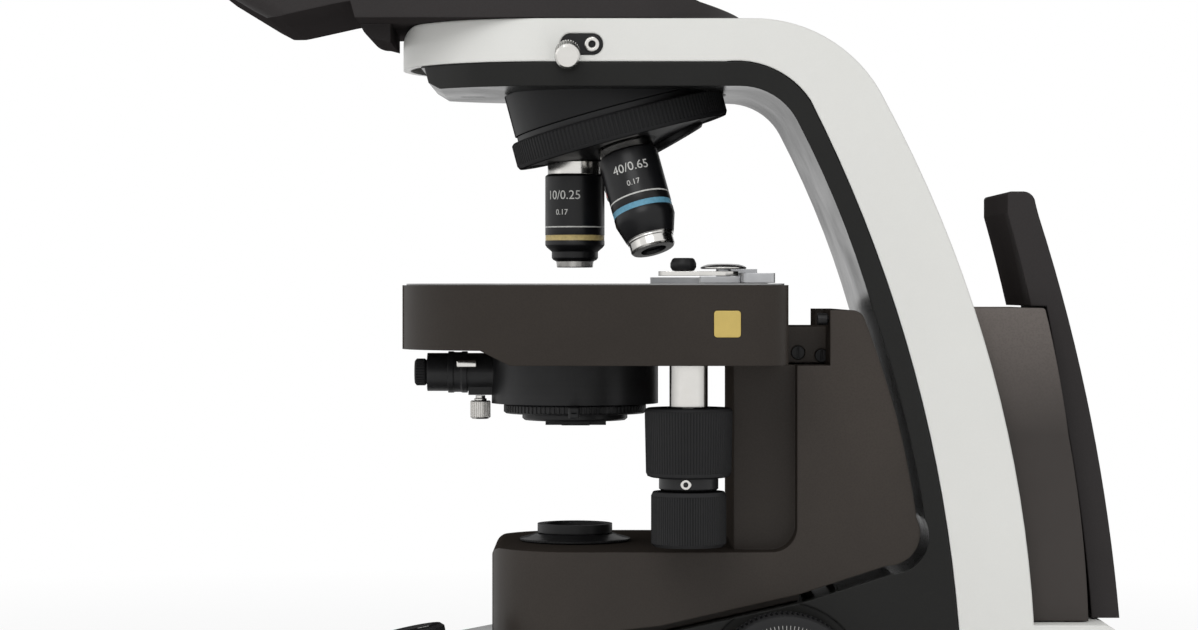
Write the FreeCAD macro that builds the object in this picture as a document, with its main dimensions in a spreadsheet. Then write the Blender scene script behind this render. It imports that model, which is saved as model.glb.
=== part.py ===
import FreeCAD, Part
import math
import os
import Sketcher
from FreeCAD import Placement, Rotation, Vector

doc = FreeCAD.newDocument("Microscope")

# Driving sizes in millimetres and degrees.
# The row frame has its origin on the optical axis at table level, X to the user's right,
# Y away from the user and Z up.

SIZES = {
    "frame_half": 60.0,
    "frame_top": 315.6,
    "nose_front": 71.0,
    "cover_wall": 3.0,
    "cover_gap": 0.3,
    "seam_gap": 3.0,
    "seat_gap": 0.3,
    "belly": 288.8,
    "base_under": 6.0,
    "base_thick": 10.0,
    "foot_r": 11.0,
    "deck": 62.0,
    "block_top": 104.0,
    "block_front": 33.5,
    "block_half": 58.0,
    "block_corner": 35.0,
    "column_half": 45.0,
    "column_front": 64.0,
    "column_back": 88.6,
    "column_top": 178.0,
    "body_front": 101.7,
    "body_top": 200.0,
    "slider_half": 28.0,
    "slider_front": 93.0,
    "slider_back": 105.0,
    "bracket_half": 32.0,
    "running": 0.06,
    "focus_y": 83.0,
    "focus_z": 52.0,
    "coarse_r": 30.0,
    "coarse_gap": 5.5,
    "coarse_wide": 16.5,
    "coarse_shaft": 4.5,
    "fine_r": 14.0,
    "fine_wide": 17.0,
    "fine_shaft": 2.5,
    "ring_r": 24.0,
    "hub_r": 8.94,
    "module": 1.0,
    "teeth": 12.0,
    "backlash": 0.12,
    "stage_half": 105.5,
    "stage_front": 68.0,
    "stage_back": 83.0,
    "stage_top": 210.5,
    "plate_thick": 2.2,
    "stage_skirt": 184.7,
    "stage_low": 179.0,
    "stage_corner": 50.0,
    "stage_rear_corner": 12.0,
    "stage_wall": 3.0,
    "stage_roof": 8.3,
    "drive_x": 77.0,
    "drive_y": 45.0,
    "drive_spindle": 3.0,
    "carriage_y": 72.5,
    "holder_x": 46.0,
    "pivot_y": 59.8,
    "condenser_r": 34.5,
    "condenser_low": 154.0,
    "field_r": 15.5,
    "field_neck": 14.0,
    "filter_r": 12.6,
    "apex_z": 343.8,
    "tilt": 15.0,
    "seat_run": 82.3,
    "turret_r": 42.0,
    "grip_wall": 3.0,
    "pin_r": 6.0,
    "thread_r": 10.1,
    "barrel_r": 12.3,
    "head_z": 340.0,
    "incline": 30.0,
    "arm_run": 37.5,
    "spread": 58.6,
    "tube_r": 18.0,
    "eyepiece_r": 15.0,
    "face_run": 122.0,
    "winder_half": 39.0,
    "dial_r": 15.0,
    "dial_x": 42.0,
    "dial_y": 65.0,
}

sheet = doc.addObject("Spreadsheet::Sheet", "Sizes")
for number, (alias, amount) in enumerate(SIZES.items(), start=1):
    sheet.set(f"A{number}", alias)
    sheet.set(f"B{number}", str(amount))
    sheet.setAlias(f"B{number}", alias)
doc.recompute()


class Size:
    """A number that remembers the sheet expression it comes from."""

    def __init__(self, amount, text):
        self.amount = float(amount)
        self.text = text

    def __add__(self, other):
        return Size(self.amount + num(other), f"({self.text} + {txt(other)})")

    def __radd__(self, other):
        return Size(num(other) + self.amount, f"({txt(other)} + {self.text})")

    def __sub__(self, other):
        return Size(self.amount - num(other), f"({self.text} - {txt(other)})")

    def __rsub__(self, other):
        return Size(num(other) - self.amount, f"({txt(other)} - {self.text})")

    def __mul__(self, other):
        return Size(self.amount * num(other), f"({self.text} * {txt(other)})")

    def __rmul__(self, other):
        return Size(num(other) * self.amount, f"({txt(other)} * {self.text})")

    def __truediv__(self, other):
        return Size(self.amount / num(other), f"({self.text} / {txt(other)})")

    def __neg__(self):
        return Size(-self.amount, f"(0 - {self.text})")


def num(x):
    return x.amount if isinstance(x, Size) else float(x)


def txt(x):
    if isinstance(x, Size):
        return x.text
    return f"({round(float(x), 6)})" if x < 0 else f"{round(float(x), 6)}"


def sin(x):
    return Size(math.sin(math.radians(num(x))), f"sin({txt(x)})")


def cos(x):
    return Size(math.cos(math.radians(num(x))), f"cos({txt(x)})")


def tan(x):
    return Size(math.tan(math.radians(num(x))), f"tan({txt(x)})")


def acos(x):
    return Size(math.degrees(math.acos(num(x))), f"acos({txt(x)})")


S = {alias: Size(amount, f"Sizes.{alias}") for alias, amount in SIZES.items()}
coarse_in = S["frame_half"] + S["coarse_gap"]
coarse_out = coarse_in + S["coarse_wide"]
fine_out = coarse_out + S["fine_wide"]


def bind(thing, path, x):
    if isinstance(x, Size):
        thing.setExpression(path, x.text)


def place(thing, at=(0, 0, 0), axis=(0, 0, 1), angle=0):
    """Put an object at a point, turned about an axis through it."""
    thing.Placement = Placement(
        Vector(num(at[0]), num(at[1]), num(at[2])),
        Rotation(Vector(num(axis[0]), num(axis[1]), num(axis[2])), num(angle)),
    )
    for name, x in zip("xyz", at):
        bind(thing, f"Placement.Base.{name}", x)
    if isinstance(angle, Size):
        for name, x in zip("xyz", axis):
            bind(thing, f"Placement.Rotation.Axis.{name}", x)
        bind(thing, "Placement.Rotation.Angle", angle)
    return thing


def loop(sketch, path):
    """Draw one closed outline. A point is (u, v), or (u, v, r) for an arc arriving there:
    r above 0 turns left along the way and r below 0 turns right."""
    edges = []
    count = len(path)
    for i in range(count):
        start = path[i]
        end = path[(i + 1) % count]
        a = Vector(num(start[0]), num(start[1]), 0)
        b = Vector(num(end[0]), num(end[1]), 0)
        if len(end) == 2:
            edges.append((sketch.addGeometry(Part.LineSegment(a, b), False), 1, 2))
            continue
        r = num(end[2])
        chord = b - a
        half = chord.Length / 2
        rise = math.sqrt(max(r * r - half * half, 0.0))
        side = Vector(-chord.y, chord.x, 0).normalize()
        middle = (a + b) * 0.5
        centre = middle + side * (rise if r > 0 else -rise)
        first, last = (a, b) if r > 0 else (b, a)
        low = math.atan2(first.y - centre.y, first.x - centre.x)
        high = math.atan2(last.y - centre.y, last.x - centre.x)
        circle = Part.Circle(centre, Vector(0, 0, 1), abs(r))
        arc = Part.ArcOfCircle(circle, low, high)
        index = sketch.addGeometry(arc, False)
        edges.append((index, 1, 2) if r > 0 else (index, 2, 1))
        k = sketch.addConstraint(Sketcher.Constraint("Radius", index, abs(r)))
        if isinstance(end[2], Size):
            size = end[2] if r > 0 else -end[2]
            sketch.setExpression(f"Constraints[{k}]", size.text)
    for i in range(count):
        index, first, last = edges[i]
        following, head, tail = edges[(i + 1) % count]
        sketch.addConstraint(Sketcher.Constraint("Coincident", index, last, following, head))
    for i in range(count):
        index, first, last = edges[i]
        for kind, axis, x in (("DistanceX", -2, path[i][0]), ("DistanceY", -1, path[i][1])):
            if not isinstance(x, Size) and abs(x) < 1e-9:
                sketch.addConstraint(Sketcher.Constraint("PointOnObject", index, first, axis))
                continue
            k = sketch.addConstraint(Sketcher.Constraint(kind, -1, 1, index, first, num(x)))
            if isinstance(x, Size):
                sketch.setExpression(f"Constraints[{k}]", x.text)


def ring(sketch, u, v, r):
    """Draw one circle."""
    index = sketch.addGeometry(Part.Circle(Vector(num(u), num(v), 0), Vector(0, 0, 1), num(r)), False)
    for kind, axis, x in (("DistanceX", -2, u), ("DistanceY", -1, v)):
        if not isinstance(x, Size) and abs(x) < 1e-9:
            sketch.addConstraint(Sketcher.Constraint("PointOnObject", index, 3, axis))
            continue
        k = sketch.addConstraint(Sketcher.Constraint(kind, -1, 1, index, 3, num(x)))
        if isinstance(x, Size):
            sketch.setExpression(f"Constraints[{k}]", x.text)
    k = sketch.addConstraint(Sketcher.Constraint("Radius", index, num(r)))
    if isinstance(r, Size):
        sketch.setExpression(f"Constraints[{k}]", r.text)


def sketched(body, plane, shapes, start=0):
    """Make a sketch on one of the body's own planes, moved along its normal by start."""
    sketch = body.newObject("Sketcher::SketchObject", body.Name + "_sketch")
    origin = [f for f in body.Origin.OriginFeatures if f.Role == plane + "_Plane"][0]
    sketch.AttachmentSupport = [(origin, "")]
    sketch.MapMode = "FlatFace"
    sketch.AttachmentOffset = Placement(Vector(0, 0, num(start)), Rotation())
    bind(sketch, "AttachmentOffset.Base.z", start)
    for shape in shapes:
        if isinstance(shape, tuple) and shape[0] == "circle":
            ring(sketch, shape[1], shape[2], shape[3])
        else:
            loop(sketch, shape)
    return sketch


def new_body(label):
    body = doc.addObject("PartDesign::Body", label)
    body.Label = label
    return body


def add_turn(body, profiles, cut=False):
    sketch = sketched(body, "XZ", profiles)
    kind = "PartDesign::Groove" if cut else "PartDesign::Revolution"
    feature = body.newObject(kind, body.Name + "_turn")
    feature.Profile = sketch
    feature.ReferenceAxis = (sketch, ["V_Axis"])
    feature.Angle = 360
    return body


def turned(label, profile):
    """A solid of revolution about the body's own Z, from (radius, height) points."""
    body = new_body(label)
    return add_turn(body, [profile])


def add_pad(body, plane, shapes, start, length):
    """Material from start to start + length along the plane's normal."""
    sketch = sketched(body, plane, shapes, start)
    feature = body.newObject("PartDesign::Pad", body.Name + "_pad")
    feature.Profile = sketch
    feature.Length = num(length)
    bind(feature, "Length", length)
    return body


def cut_pad(body, plane, shapes, start, length):
    """Remove material from start to start + length along the plane's normal."""
    sketch = sketched(body, plane, shapes, start)
    feature = body.newObject("PartDesign::Pocket", body.Name + "_pocket")
    feature.Profile = sketch
    feature.Reversed = True
    feature.Length = num(length)
    bind(feature, "Length", length)
    return body


def slab(label, plane, shapes, start, length):
    return add_pad(new_body(label), plane, shapes, start, length)


def box(u0, v0, u1, v1):
    return [(u0, v0), (u1, v0), (u1, v1), (u0, v1)]


def soft_box(u0, v0, u1, v1, r):
    """A rectangle with four round corners."""
    return [
        (u0 + r, v0, r), (u1 - r, v0), (u1, v0 + r, r), (u1, v1 - r),
        (u1 - r, v1, r), (u0 + r, v1), (u0, v1 - r, r), (u0, v0 + r),
    ]


def rod(r, low, high):
    """The profile of a plain cylinder for turned()."""
    return [(0, low), (r, low), (r, high), (0, high)]


def tube(inner, outer, low, high):
    return [(inner, low), (outer, low), (outer, high), (inner, high)]


def soften(body, test, r):
    """Round the edges for which test(edge) is true."""
    doc.recompute()
    names = []
    for i, edge in enumerate(body.Tip.Shape.Edges, start=1):
        if test(edge):
            names.append(f"Edge{i}")
    feature = body.newObject("PartDesign::Fillet", body.Name + "_round")
    feature.Base = (body.Tip if body.Tip != feature else feature.BaseFeature, names)
    feature.Radius = num(r)
    bind(feature, "Radius", r)
    return body


def cylinder(name, r, length, at, axis=(0, 0, 1), angle=0):
    thing = doc.addObject("Part::Cylinder", name)
    thing.Radius = num(r)
    thing.Height = num(length)
    bind(thing, "Radius", r)
    bind(thing, "Height", length)
    return place(thing, at, axis, angle)


def fused(name, things):
    thing = doc.addObject("Part::MultiFuse", name)
    thing.Shapes = things
    return thing


def carved(label, base, tool):
    """The base with the tool taken away. The base gives up the label."""
    base.Label = label + "_blank"
    thing = doc.addObject("Part::Cut", label + "_cut")
    thing.Base = base
    thing.Tool = tool
    thing.Label = label
    return thing


nodes = []


def keep(thing):
    nodes.append(thing)
    return thing


half = S["frame_half"]
top = S["frame_top"]
gap = S["seat_gap"]
wall = S["cover_wall"]
inset = S["cover_wall"] + S["cover_gap"]
base_top = S["base_under"] + S["base_thick"]

# Frame: a cast core shaped like a C, with a white cover round its outside.


def nose(u, front, back):
    """The plan area ahead of a round nose that starts at back, to be cut away."""
    return [
        (-u - 8, back), (-u - 8, -front - 20), (u + 8, -front - 20), (u + 8, back),
        (u, back), (0, -front, -u), (-u, back, -u),
    ]


def front_cut(u, front, r):
    """Cut for two front corners of radius r: everything ahead of the rounded outline."""
    return [
        (-u - 8, -front + r), (-u - 8, -front - 12), (u + 8, -front - 12), (u + 8, -front + r),
        (u, -front + r), (u - r, -front, -r), (-u + r, -front), (-u, -front + r, -r),
    ]


cover_outline = [
    (-S["nose_front"], 298.6), (60.0, 298.6), (93.9, 283.2, -35.2), (127.9, 200.1, -561),
    (152.5, 75.4, -561), (158.0, base_top), (224.0, base_top), (217.0, 68.0, 260.0),
    (210.0, 75.4, 8.0), (182.2, 75.4), (123.2, 283.2, 496.6), (70.0, top, 57.6),
    (-S["nose_front"] + 8, top), (-S["nose_front"], top - 8, 8.0),
]
cover = slab("frame_cover", "YZ", [cover_outline], -half, half * 2)
nose_back = half - S["nose_front"]
cover_room = [
    (nose_back, 297.0), (60.0, 297.0), (94.5, 282.0, -36.0), (127.2, 198.0, -561),
    (152.0, 70.0, -561), (157.0, base_top - 1), (220.5, base_top - 1), (213.9, 66.5, 258.0),
    (208.8, 72.4, 6.0), (179.7, 72.4), (120.7, 281.0, 493.4), (70.0, top - wall, 54.3),
    (nose_back, top - wall),
]
cut_pad(cover, "YZ", [cover_room], -half + wall, (half - wall) * 2)
room_r = half - wall
round_room = [
    (room_r, nose_back + 1), (-room_r, nose_back + 1), (-room_r, nose_back),
    (0, nose_back - room_r, room_r), (room_r, nose_back, room_r),
]
cut_pad(cover, "XY", [round_room], 297.0, 9.0)
blunt = 64.16
blunt_x = room_r * cos(blunt)
blunt_y = nose_back - room_r * sin(blunt)
blunt_room = [
    (room_r, nose_back + 1), (-room_r, nose_back + 1), (-room_r, nose_back), (-blunt_x, blunt_y, room_r),
    (blunt_x, blunt_y), (room_r, nose_back, room_r),
]
cut_pad(cover, "XY", [blunt_room], 305.0, top - wall - 305.0)
cut_pad(cover, "XY", [nose(half, S["nose_front"], half - S["nose_front"])], 280.0, 60.0)
cut_pad(cover, "XY", [("circle", 0, 0, 33.3)], 300.0, 30.0)

cut_pad(cover, "XZ", [box(10.7, 19.7, 35.3, 38.3)], -230.0, 20.0)
cut_pad(cover, "XZ", [box(-30.2, 25.8, -17.8, 42.2)], -230.0, 20.0)
# The side pocket holds the slot inlay on the user's right.
cut_pad(cover, "YZ", [soft_box(-5.5, 301.0, 11.7, 309.7, 4.3)], half - 1.0, 4.0)
keep(cover)

core_outline = [
    (-60.5, 297.5), (-58.8, S["belly"] + 2.8), (-54.0, S["belly"]), (66.0, S["belly"]),
    (88.4, S["belly"] - 13.5, -25.4), (118.5, 200.0, -400.0), (139.2, 117.0, -442.7), (126.0, 95.5, -15.0), (89.8, 84.0),
    (34.0, 71.5), (-31.0, S["deck"] + 2), (-72.0, S["deck"] - 6), (-88.0, 46.0, 24.0), (-92.0, base_top),
    (157.7, base_top), (152.2, 75.4), (127.6, 200.1, 561), (93.6, 282.9, 561), (60.0, 298.3, 35.2),
    (-60.5, 298.3),
]
core = slab("inner_frame", "YZ", [core_outline], -half, half * 2)
core_inside = [
    (-62.0, 297.8), (60.0, 297.8), (93.6, 282.7, -35.0), (127.0, 200.1, -561), (151.5, 75.4, -561),
    (157.0, base_top), (180.0, base_top), (179.4, 72.0), (120.3, 281.0, 493.0), (70.0, top - inset, 54.3),
    (-62.0, top - inset),
]
add_pad(core, "YZ", [core_inside], -half + inset, (half - inset) * 2)
# A short slot in the arm's underside.
cut_pad(core, "XY", [soft_box(-12.6, -47.8, -10.2, -37.3, 1.1)], S["belly"] - 1, 3.0)
cut_pad(core, "XY", [nose(half, S["nose_front"], half - S["nose_front"])], 270.0, 60.0)
cut_pad(core, "XY", [nose(half - inset, S["nose_front"] - inset, half - S["nose_front"])], 298.35, 30.0)
cut_pad(core, "XY", [front_cut(half, 92.0, 34.0)], base_top - 1, 80.0)
# Room for the electronics under the deck, the lamp's light path and the focus mechanism.
cut_pad(core, "XY", [box(-50.0, -66.0, 50.0, 60.0)], base_top, S["deck"] - 8 - base_top)
cut_pad(core, "XY", [("circle", 0, 0, 22.0)], base_top, 80.0)
cut_pad(core, "XY", [("circle", S["dial_x"], -S["dial_y"], 5.0)], base_top + 1, 80.0)
cut_pad(core, "XY", [box(-45.0, 112.0, 45.0, 146.0)], base_top, 60.0)
channel = S["slider_half"] + gap
cut_pad(core, "XY", [box(-channel, S["slider_front"] - gap, channel, S["slider_back"] + gap)], 20.0, 180.0)
cut_pad(core, "XY", [box(-10.0, 72.0, 10.0, S["slider_front"])], 24.0, 80.0)
cut_pad(core, "YZ", [("circle", S["focus_y"], S["focus_z"], 32.5)], half - 1.2, 4.0)
cut_pad(core, "YZ", [("circle", S["focus_y"], S["focus_z"], 32.5)], -half - 2.8, 4.0)
hub = ("circle", S["focus_y"], S["focus_z"], S["hub_r"])
add_pad(core, "YZ", [hub], half - 1.2, coarse_in - half + 1.2 - gap)
add_pad(core, "YZ", [hub], -coarse_in + gap, coarse_in - half + 1.2 - gap)
cut_pad(core, "YZ", [("circle", S["focus_y"], S["focus_z"], S["coarse_shaft"] + S["running"])], -coarse_in - 1, coarse_in * 2 + 2)
# The light path through the arm and the head seat above it.
cut_pad(core, "XY", [("circle", 0, 0, 15.0)], 270.0, 60.0)
cut_pad(core, "XY", [("circle", 0, 0, 33.3)], 305.0, 30.0)
drop = cos(S["tilt"])
lean = sin(S["tilt"])


def on_axis(run):
    """A point on the turret's axis, by its distance from the point where all the axes meet."""
    return (0, lean * run, S["apex_z"] - drop * run)


down = S["tilt"] + 180.0
grip_r = S["turret_r"] + S["grip_wall"]
pocket_a = cylinder("pocket_a", S["turret_r"] + 1.0, 18.0, on_axis(S["seat_run"] - 35.8), (1, 0, 0), down)
pocket_b = cylinder("pocket_b", grip_r + 1.5, 24.0, on_axis(S["seat_run"] - 19.8), (1, 0, 0), down)
core = keep(carved("inner_frame", core, fused("pockets", [pocket_a, pocket_b])))

# Base: a plate with a waist between the focus knobs, on rubber feet.
plan = [
    (-half - 10, -96.0, 18.0), (half + 10, -96.0), (half + 28, -78.0, 18.0), (half + 28, 16.0),
    (half + 14, 32.0, 16.15), (half, 48.0, -16.15), (half, 122.0), (half + 8, 131.0, -9.1),
    (half + 16, 140.0, 9.1), (half + 16, 206.0), (half - 2, 224.0, 18.0), (-half + 2, 224.0),
    (-half - 16, 206.0, 18.0), (-half - 16, 140.0), (-half - 8, 131.0, 9.1), (-half, 122.0, -9.1),
    (-half, 48.0), (-half - 14, 32.0, -16.15), (-half - 28, 16.0, 16.15), (-half - 28, -78.0),
]
plate = slab("base_plate", "XY", [plan], S["base_under"], S["base_thick"])
soften(plate, lambda e: abs(e.BoundBox.ZMin - num(base_top)) < 0.01 and e.BoundBox.ZLength < 0.01, 4.0)
keep(plate)
feet = new_body("rubber_feet")
spots = [(-72.0, -80.0), (72.0, -80.0), (-60.0, 205.0), (60.0, 205.0), (0, 0)]
add_pad(feet, "XY", [("circle", x, y, S["foot_r"]) for x, y in spots], 0, S["base_under"])
keep(feet)

# Illuminator body: the brown insert between the arms of the C.
body_outline = [
    (-S["block_front"], 67.2), (34.0, 74.7), (89.2, 87.2), (124.0, 98.6), (136.0, 117.4, 13.0),
    (128.5, 156.0, 439), (115.6, 196.0, 439), (110.6, S["body_top"], 5.5), (S["body_front"], S["body_top"]),
    (S["body_front"], S["column_top"]), (S["column_back"], S["column_top"]),
    (S["column_back"], S["block_top"] + 10), (S["column_back"] - 10, S["block_top"], -10.0),
    (-S["block_front"] + 4, S["block_top"]), (-S["block_front"], S["block_top"] - 4, 4.0),
]
lamp_body = slab("illuminator_body", "YZ", [body_outline], -S["block_half"], S["block_half"] * 2)
tongue = [(-30.0, 64.5), (34.0, 71.8), (89.6, 84.3), (90.0, 100.0), (-30.0, 100.0)]
add_pad(lamp_body, "YZ", [tongue], -50.0, 100.0)
neck = [(S["column_front"], S["block_top"] - 4), (S["body_front"] + 4, S["block_top"] - 4),
        (S["body_front"] + 4, S["column_top"]), (S["column_front"], S["column_top"])]
add_pad(lamp_body, "YZ", [neck], -S["column_half"], S["column_half"] * 2)
cut_pad(lamp_body, "XY", [front_cut(S["block_half"], S["block_front"], S["block_corner"])], 60.0, 50.0)
cut_pad(lamp_body, "XY", [box(-46.0, -6.0, 46.0, 56.0)], 60.0, S["block_top"] - 66.0)
cut_pad(lamp_body, "XY", [("circle", 0, 0, 26.0)], 60.0, S["block_top"] - 66.0)
cut_pad(lamp_body, "XY", [("circle", 0, 0, S["field_neck"] + S["running"])], 90.0, 30.0)
cut_pad(lamp_body, "XY", [box(-channel, S["slider_front"] - gap, channel, S["slider_back"] + gap)], 60.0, 150.0)
cut_pad(lamp_body, "XY", [box(-10.0, 80.0, 10.0, S["slider_front"])], 60.0, 36.0)
cut_pad(lamp_body, "XY", [box(-S["bracket_half"] - gap, 80.0, S["bracket_half"] + gap, S["slider_back"] + gap)], 160.0, 50.0)
keep(lamp_body)

# Rear housing and the cord winder behind it.
rear_outline = [
    (182.76, 75.9, -496.9), (205.3, 75.9), (197.4, 150.0, 504), (189.4, 195.0, 504), (188.3, top - 116.3),
    (186.8, top - 114.8, 1.5),
    (159.2, top - 114.8),
]
rear = slab("rear_housing", "YZ", [rear_outline], -50.0, 100.0)
keep(rear)
winder_outline = [
    (219.5, 76.0), (206.3, 165.0, 753), (187.0, 238.0, 753), (185.7, 243.0), (180.9, 247.7, 5.0),
    (176.0, 247.7), (174.5, 246.2, 1.5), (174.5, 239.0), (184.0, top - 114.0, -740), (190.2, top - 114.0),
    (196.3, 165.0, -740), (208.4, 76.0, -740),
]
winder = slab("cord_winder", "YZ", [winder_outline], -S["winder_half"], S["winder_half"] * 2)
winder_room = [
    (216.9, 78.5), (203.7, 165.0, 750), (196.4, 196.0, 750), (183.0, 196.0), (188.0, 165.0), (200.0, 78.5),
]
cut_pad(winder, "YZ", [winder_room], -S["winder_half"] + 2.5, (S["winder_half"] - 2.5) * 2)
bridge = [(205.6, 82.0, -504.6), (218.0, 82.0), (211.2, 130.0), (201.2, 130.0)]
add_pad(winder, "YZ", [bridge], -18.0, 36.0)
keep(winder)

# Light source and electronics inside the base.
block_top = S["block_top"]
lens_low = 105.5
mount_profile = [
    (11.0, 97.0), (S["field_neck"], 97.0), (S["field_neck"], 107.7), (S["field_r"], 107.7), (S["field_r"], 111.3),
    (S["filter_r"], 111.3), (S["filter_r"], lens_low), (11.0, lens_low),
]
keep(turned("field_lens_mount", mount_profile))
keep(turned("field_lens", [
    (0, lens_low), (S["filter_r"] - 0.06, lens_low), (S["filter_r"] - 0.06, 108.0), (8.0, 109.2), (0, 109.2),
]))
keep(turned("field_ring", [
    (S["field_neck"] + S["running"], block_top + gap), (23.0, block_top + gap), (23.0, 106.4), (22.0, 107.4),
    (S["field_neck"] + S["running"], 107.4),
]))
sink = slab("heat_sink", "XY", [box(-22.0, -20.0, 22.0, 20.0)], base_top, 16.0)
for number in range(5):
    x = -19.0 + number * 8.6
    cut_pad(sink, "XY", [box(x, -21.0, x + 4.6, 21.0)], base_top + 4, 9.0)
keep(sink)
lamp = slab("lamp_module", "XY", [soft_box(-13.0, -13.0, 13.0, 13.0, 2.0)], base_top + 16, 1.6)
add_pad(lamp, "XY", [("circle", 0, 0, 10.0)], base_top + 17.6, 9.0)
keep(lamp)
board = slab("power_board", "XY", [soft_box(-40.0, -60.0, 24.0, -28.0, 2.0)], base_top + 6, 1.6)
for x, y in ((-35.0, -56.0), (19.0, -56.0), (-35.0, -32.0), (19.0, -32.0)):
    add_pad(board, "XY", [("circle", x, y, 3.0)], base_top, 6.5)
add_pad(board, "XY", [box(-28.0, -54.0, -10.0, -36.0)], base_top + 7.6, 12.0)
add_pad(board, "XY", [("circle", 2.0, -44.0, 6.0)], base_top + 7.6, 14.0)
keep(board)

# Power inlet in the rear wall of the cover's foot, and the power switch beside it.
inlet_y = 222.6
inlet = slab("power_inlet", "XY", [box(8.0, 192.0, 38.0, 215.8)], base_top, 26.0)
add_pad(inlet, "XY", [box(11.0, 215.0, 35.0, 224.6)], base_top + 4, 18.0)
cut_pad(inlet, "XY", [box(13.0, 208.0, 33.0, 226.0)], base_top + 6, 14.0)
for x in (17.0, 23.0, 29.0):
    add_pad(inlet, "XY", [box(x - 1.0, 207.0, x + 1.0, 218.0)], base_top + 10, 5.0)
keep(inlet)

# Nosepiece base: the tilted disc under the arm that carries the turret.
seat = S["seat_run"]
base_body = new_body("nosepiece_base")
add_turn(base_body, [[
    (0, seat - 35.8), (S["turret_r"] + 0.7, seat - 35.8), (S["turret_r"] + 0.7, seat - 18.6),
    (S["pin_r"], seat - 18.6), (S["pin_r"], seat - 2.0), (0, seat - 2.0),
]])
place(base_body, (0, 0, S["apex_z"]), (1, 0, 0), down)
light = cylinder("light_path", 9.0, 80.0, (0, 0, 240.0))
keep(carved("nosepiece_base", base_body, light))

# Focus: slider on two rails, rack and pinion, coarse and fine knobs on one axis.
rails = slab("focus_rails", "XY", [box(24.4, 96.0, channel, 102.0)], 40.0, 120.0)
add_pad(rails, "XY", [box(-channel, 96.0, -24.4, 102.0)], 40.0, 120.0)
keep(rails)
slider_y = S["slider_front"]
slider = slab("focus_slider", "XY", [box(-S["slider_half"], slider_y, S["slider_half"], S["slider_back"])], 36.0, 150.0)
add_pad(slider, "XY", [box(-S["bracket_half"], 80.3, S["bracket_half"], S["slider_back"])], 178.6, 14.6)
add_pad(slider, "XY", [box(-S["bracket_half"] + 4, 80.3, S["bracket_half"] - 4, 83.3)], 178.6, 21.1)
add_pad(slider, "XY", [soft_box(-S["bracket_half"], 44.0, S["bracket_half"], 83.3, 3.0)], 193.7, 6.0)
for side in (-1, 1):
    outer = (24.1, 30.0) if side > 0 else (-30.0, -24.1)
    cut_pad(slider, "XY", [box(outer[0], 95.7, outer[1], 102.3)], 30.0, 148.5)
for y, z in ((90.6, 182.6), (100.2, 181.4)):
    cut_pad(slider, "YZ", [("circle", y, z, 2.9)], S["bracket_half"] - 3.0, 4.0)
keep(slider)
screws = new_body("bracket_screws")
for y, z in ((90.6, 182.6), (100.2, 181.4)):
    add_pad(screws, "YZ", [("circle", y, z, 2.6)], S["bracket_half"] - 3.0, 2.7)
    cut_pad(screws, "YZ", [box(y - 0.4, z - 2.0, y + 0.4, z + 2.0)], S["bracket_half"] - 1.2, 2.0)
keep(screws)
m = S["module"]
pitch_line = S["focus_y"] + m * S["teeth"] / 2
step = m * math.pi
root = pitch_line + m * 0.95
tip = pitch_line - m * 0.65
rack_path = [(S["slider_front"], 40.0 - step / 2)]
rack_path = []
low = S["focus_z"] - step * 3.5
for number in range(13):
    mid = low + step * number + step / 2
    rack_path += [
        (root, mid - step * 0.25 - m * 0.22), (tip, mid - step * 0.25 + m * 0.36),
        (tip, mid + step * 0.25 - m * 0.36), (root, mid + step * 0.25 + m * 0.22),
    ]
rack_path = [(S["slider_front"], low - 2.0), (root, low - 2.0)] + rack_path
rack_path += [(root, low + step * 13 + 2.0), (S["slider_front"], low + step * 13 + 2.0)]
keep(slab("focus_rack", "YZ", [rack_path], -5.0, 10.0))
tooth = []
count = int(round(num(S["teeth"])))
pitch_r = m * S["teeth"] / 2
for number in range(count):
    here = 360.0 / count * number + 360.0 / count / 2
    for r, off in ((pitch_r - m * 1.2, -9.2), (pitch_r + m * 0.85, -3.2), (pitch_r + m * 0.85, 3.2), (pitch_r - m * 1.2, 9.2)):
        tooth.append((r * cos(here + off), r * sin(here + off)))
pinion = slab("focus_pinion", "YZ", [tooth], -7.0, 14.0)
add_pad(pinion, "YZ", [("circle", 0, 0, S["coarse_shaft"])], -coarse_out + 2, coarse_out * 2 - 4)
cut_pad(pinion, "YZ", [("circle", 0, 0, S["fine_shaft"] + S["running"])], -coarse_out - 1, coarse_out * 2 + 2)
place(pinion, (0, S["focus_y"], S["focus_z"]))
keep(pinion)
knob_wide = coarse_out - coarse_in
knobs = new_body("coarse_knobs")
for side in (1, -1):
    inner = coarse_in * side if side > 0 else -coarse_out
    add_pad(knobs, "YZ", [("circle", 0, 0, S["coarse_r"])], inner, knob_wide)
cut_pad(knobs, "YZ", [("circle", 0, 0, S["coarse_shaft"])], -coarse_out - 1, coarse_out * 2 + 2)
soften(knobs, lambda e: e.Curve.TypeId == "Part::GeomCircle" and abs(e.Curve.Radius - num(S["coarse_r"])) < 0.01, 2.0)
place(knobs, (0, S["focus_y"], S["focus_z"]))
keep(knobs)
fine = new_body("fine_knobs")
add_pad(fine, "YZ", [("circle", 0, 0, S["fine_shaft"])], -fine_out + 2, fine_out * 2 - 4)
add_pad(fine, "YZ", [("circle", 0, 0, S["fine_r"])], coarse_out + gap, fine_out - coarse_out - gap)
add_pad(fine, "YZ", [("circle", 0, 0, S["fine_r"])], -fine_out, fine_out - coarse_out - gap)
soften(fine, lambda e: abs(abs(e.BoundBox.XMin) - num(fine_out)) < 0.01 and e.BoundBox.XLength < 0.01, 1.5)
place(fine, (0, S["focus_y"], S["focus_z"]))
keep(fine)
tension = slab("tension_ring", "YZ", [("circle", 0, 0, S["ring_r"]), ("circle", 0, 0, S["hub_r"] + S["running"])], half - 1.2 + gap, coarse_in - half + 1.2 - gap * 2)
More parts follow.
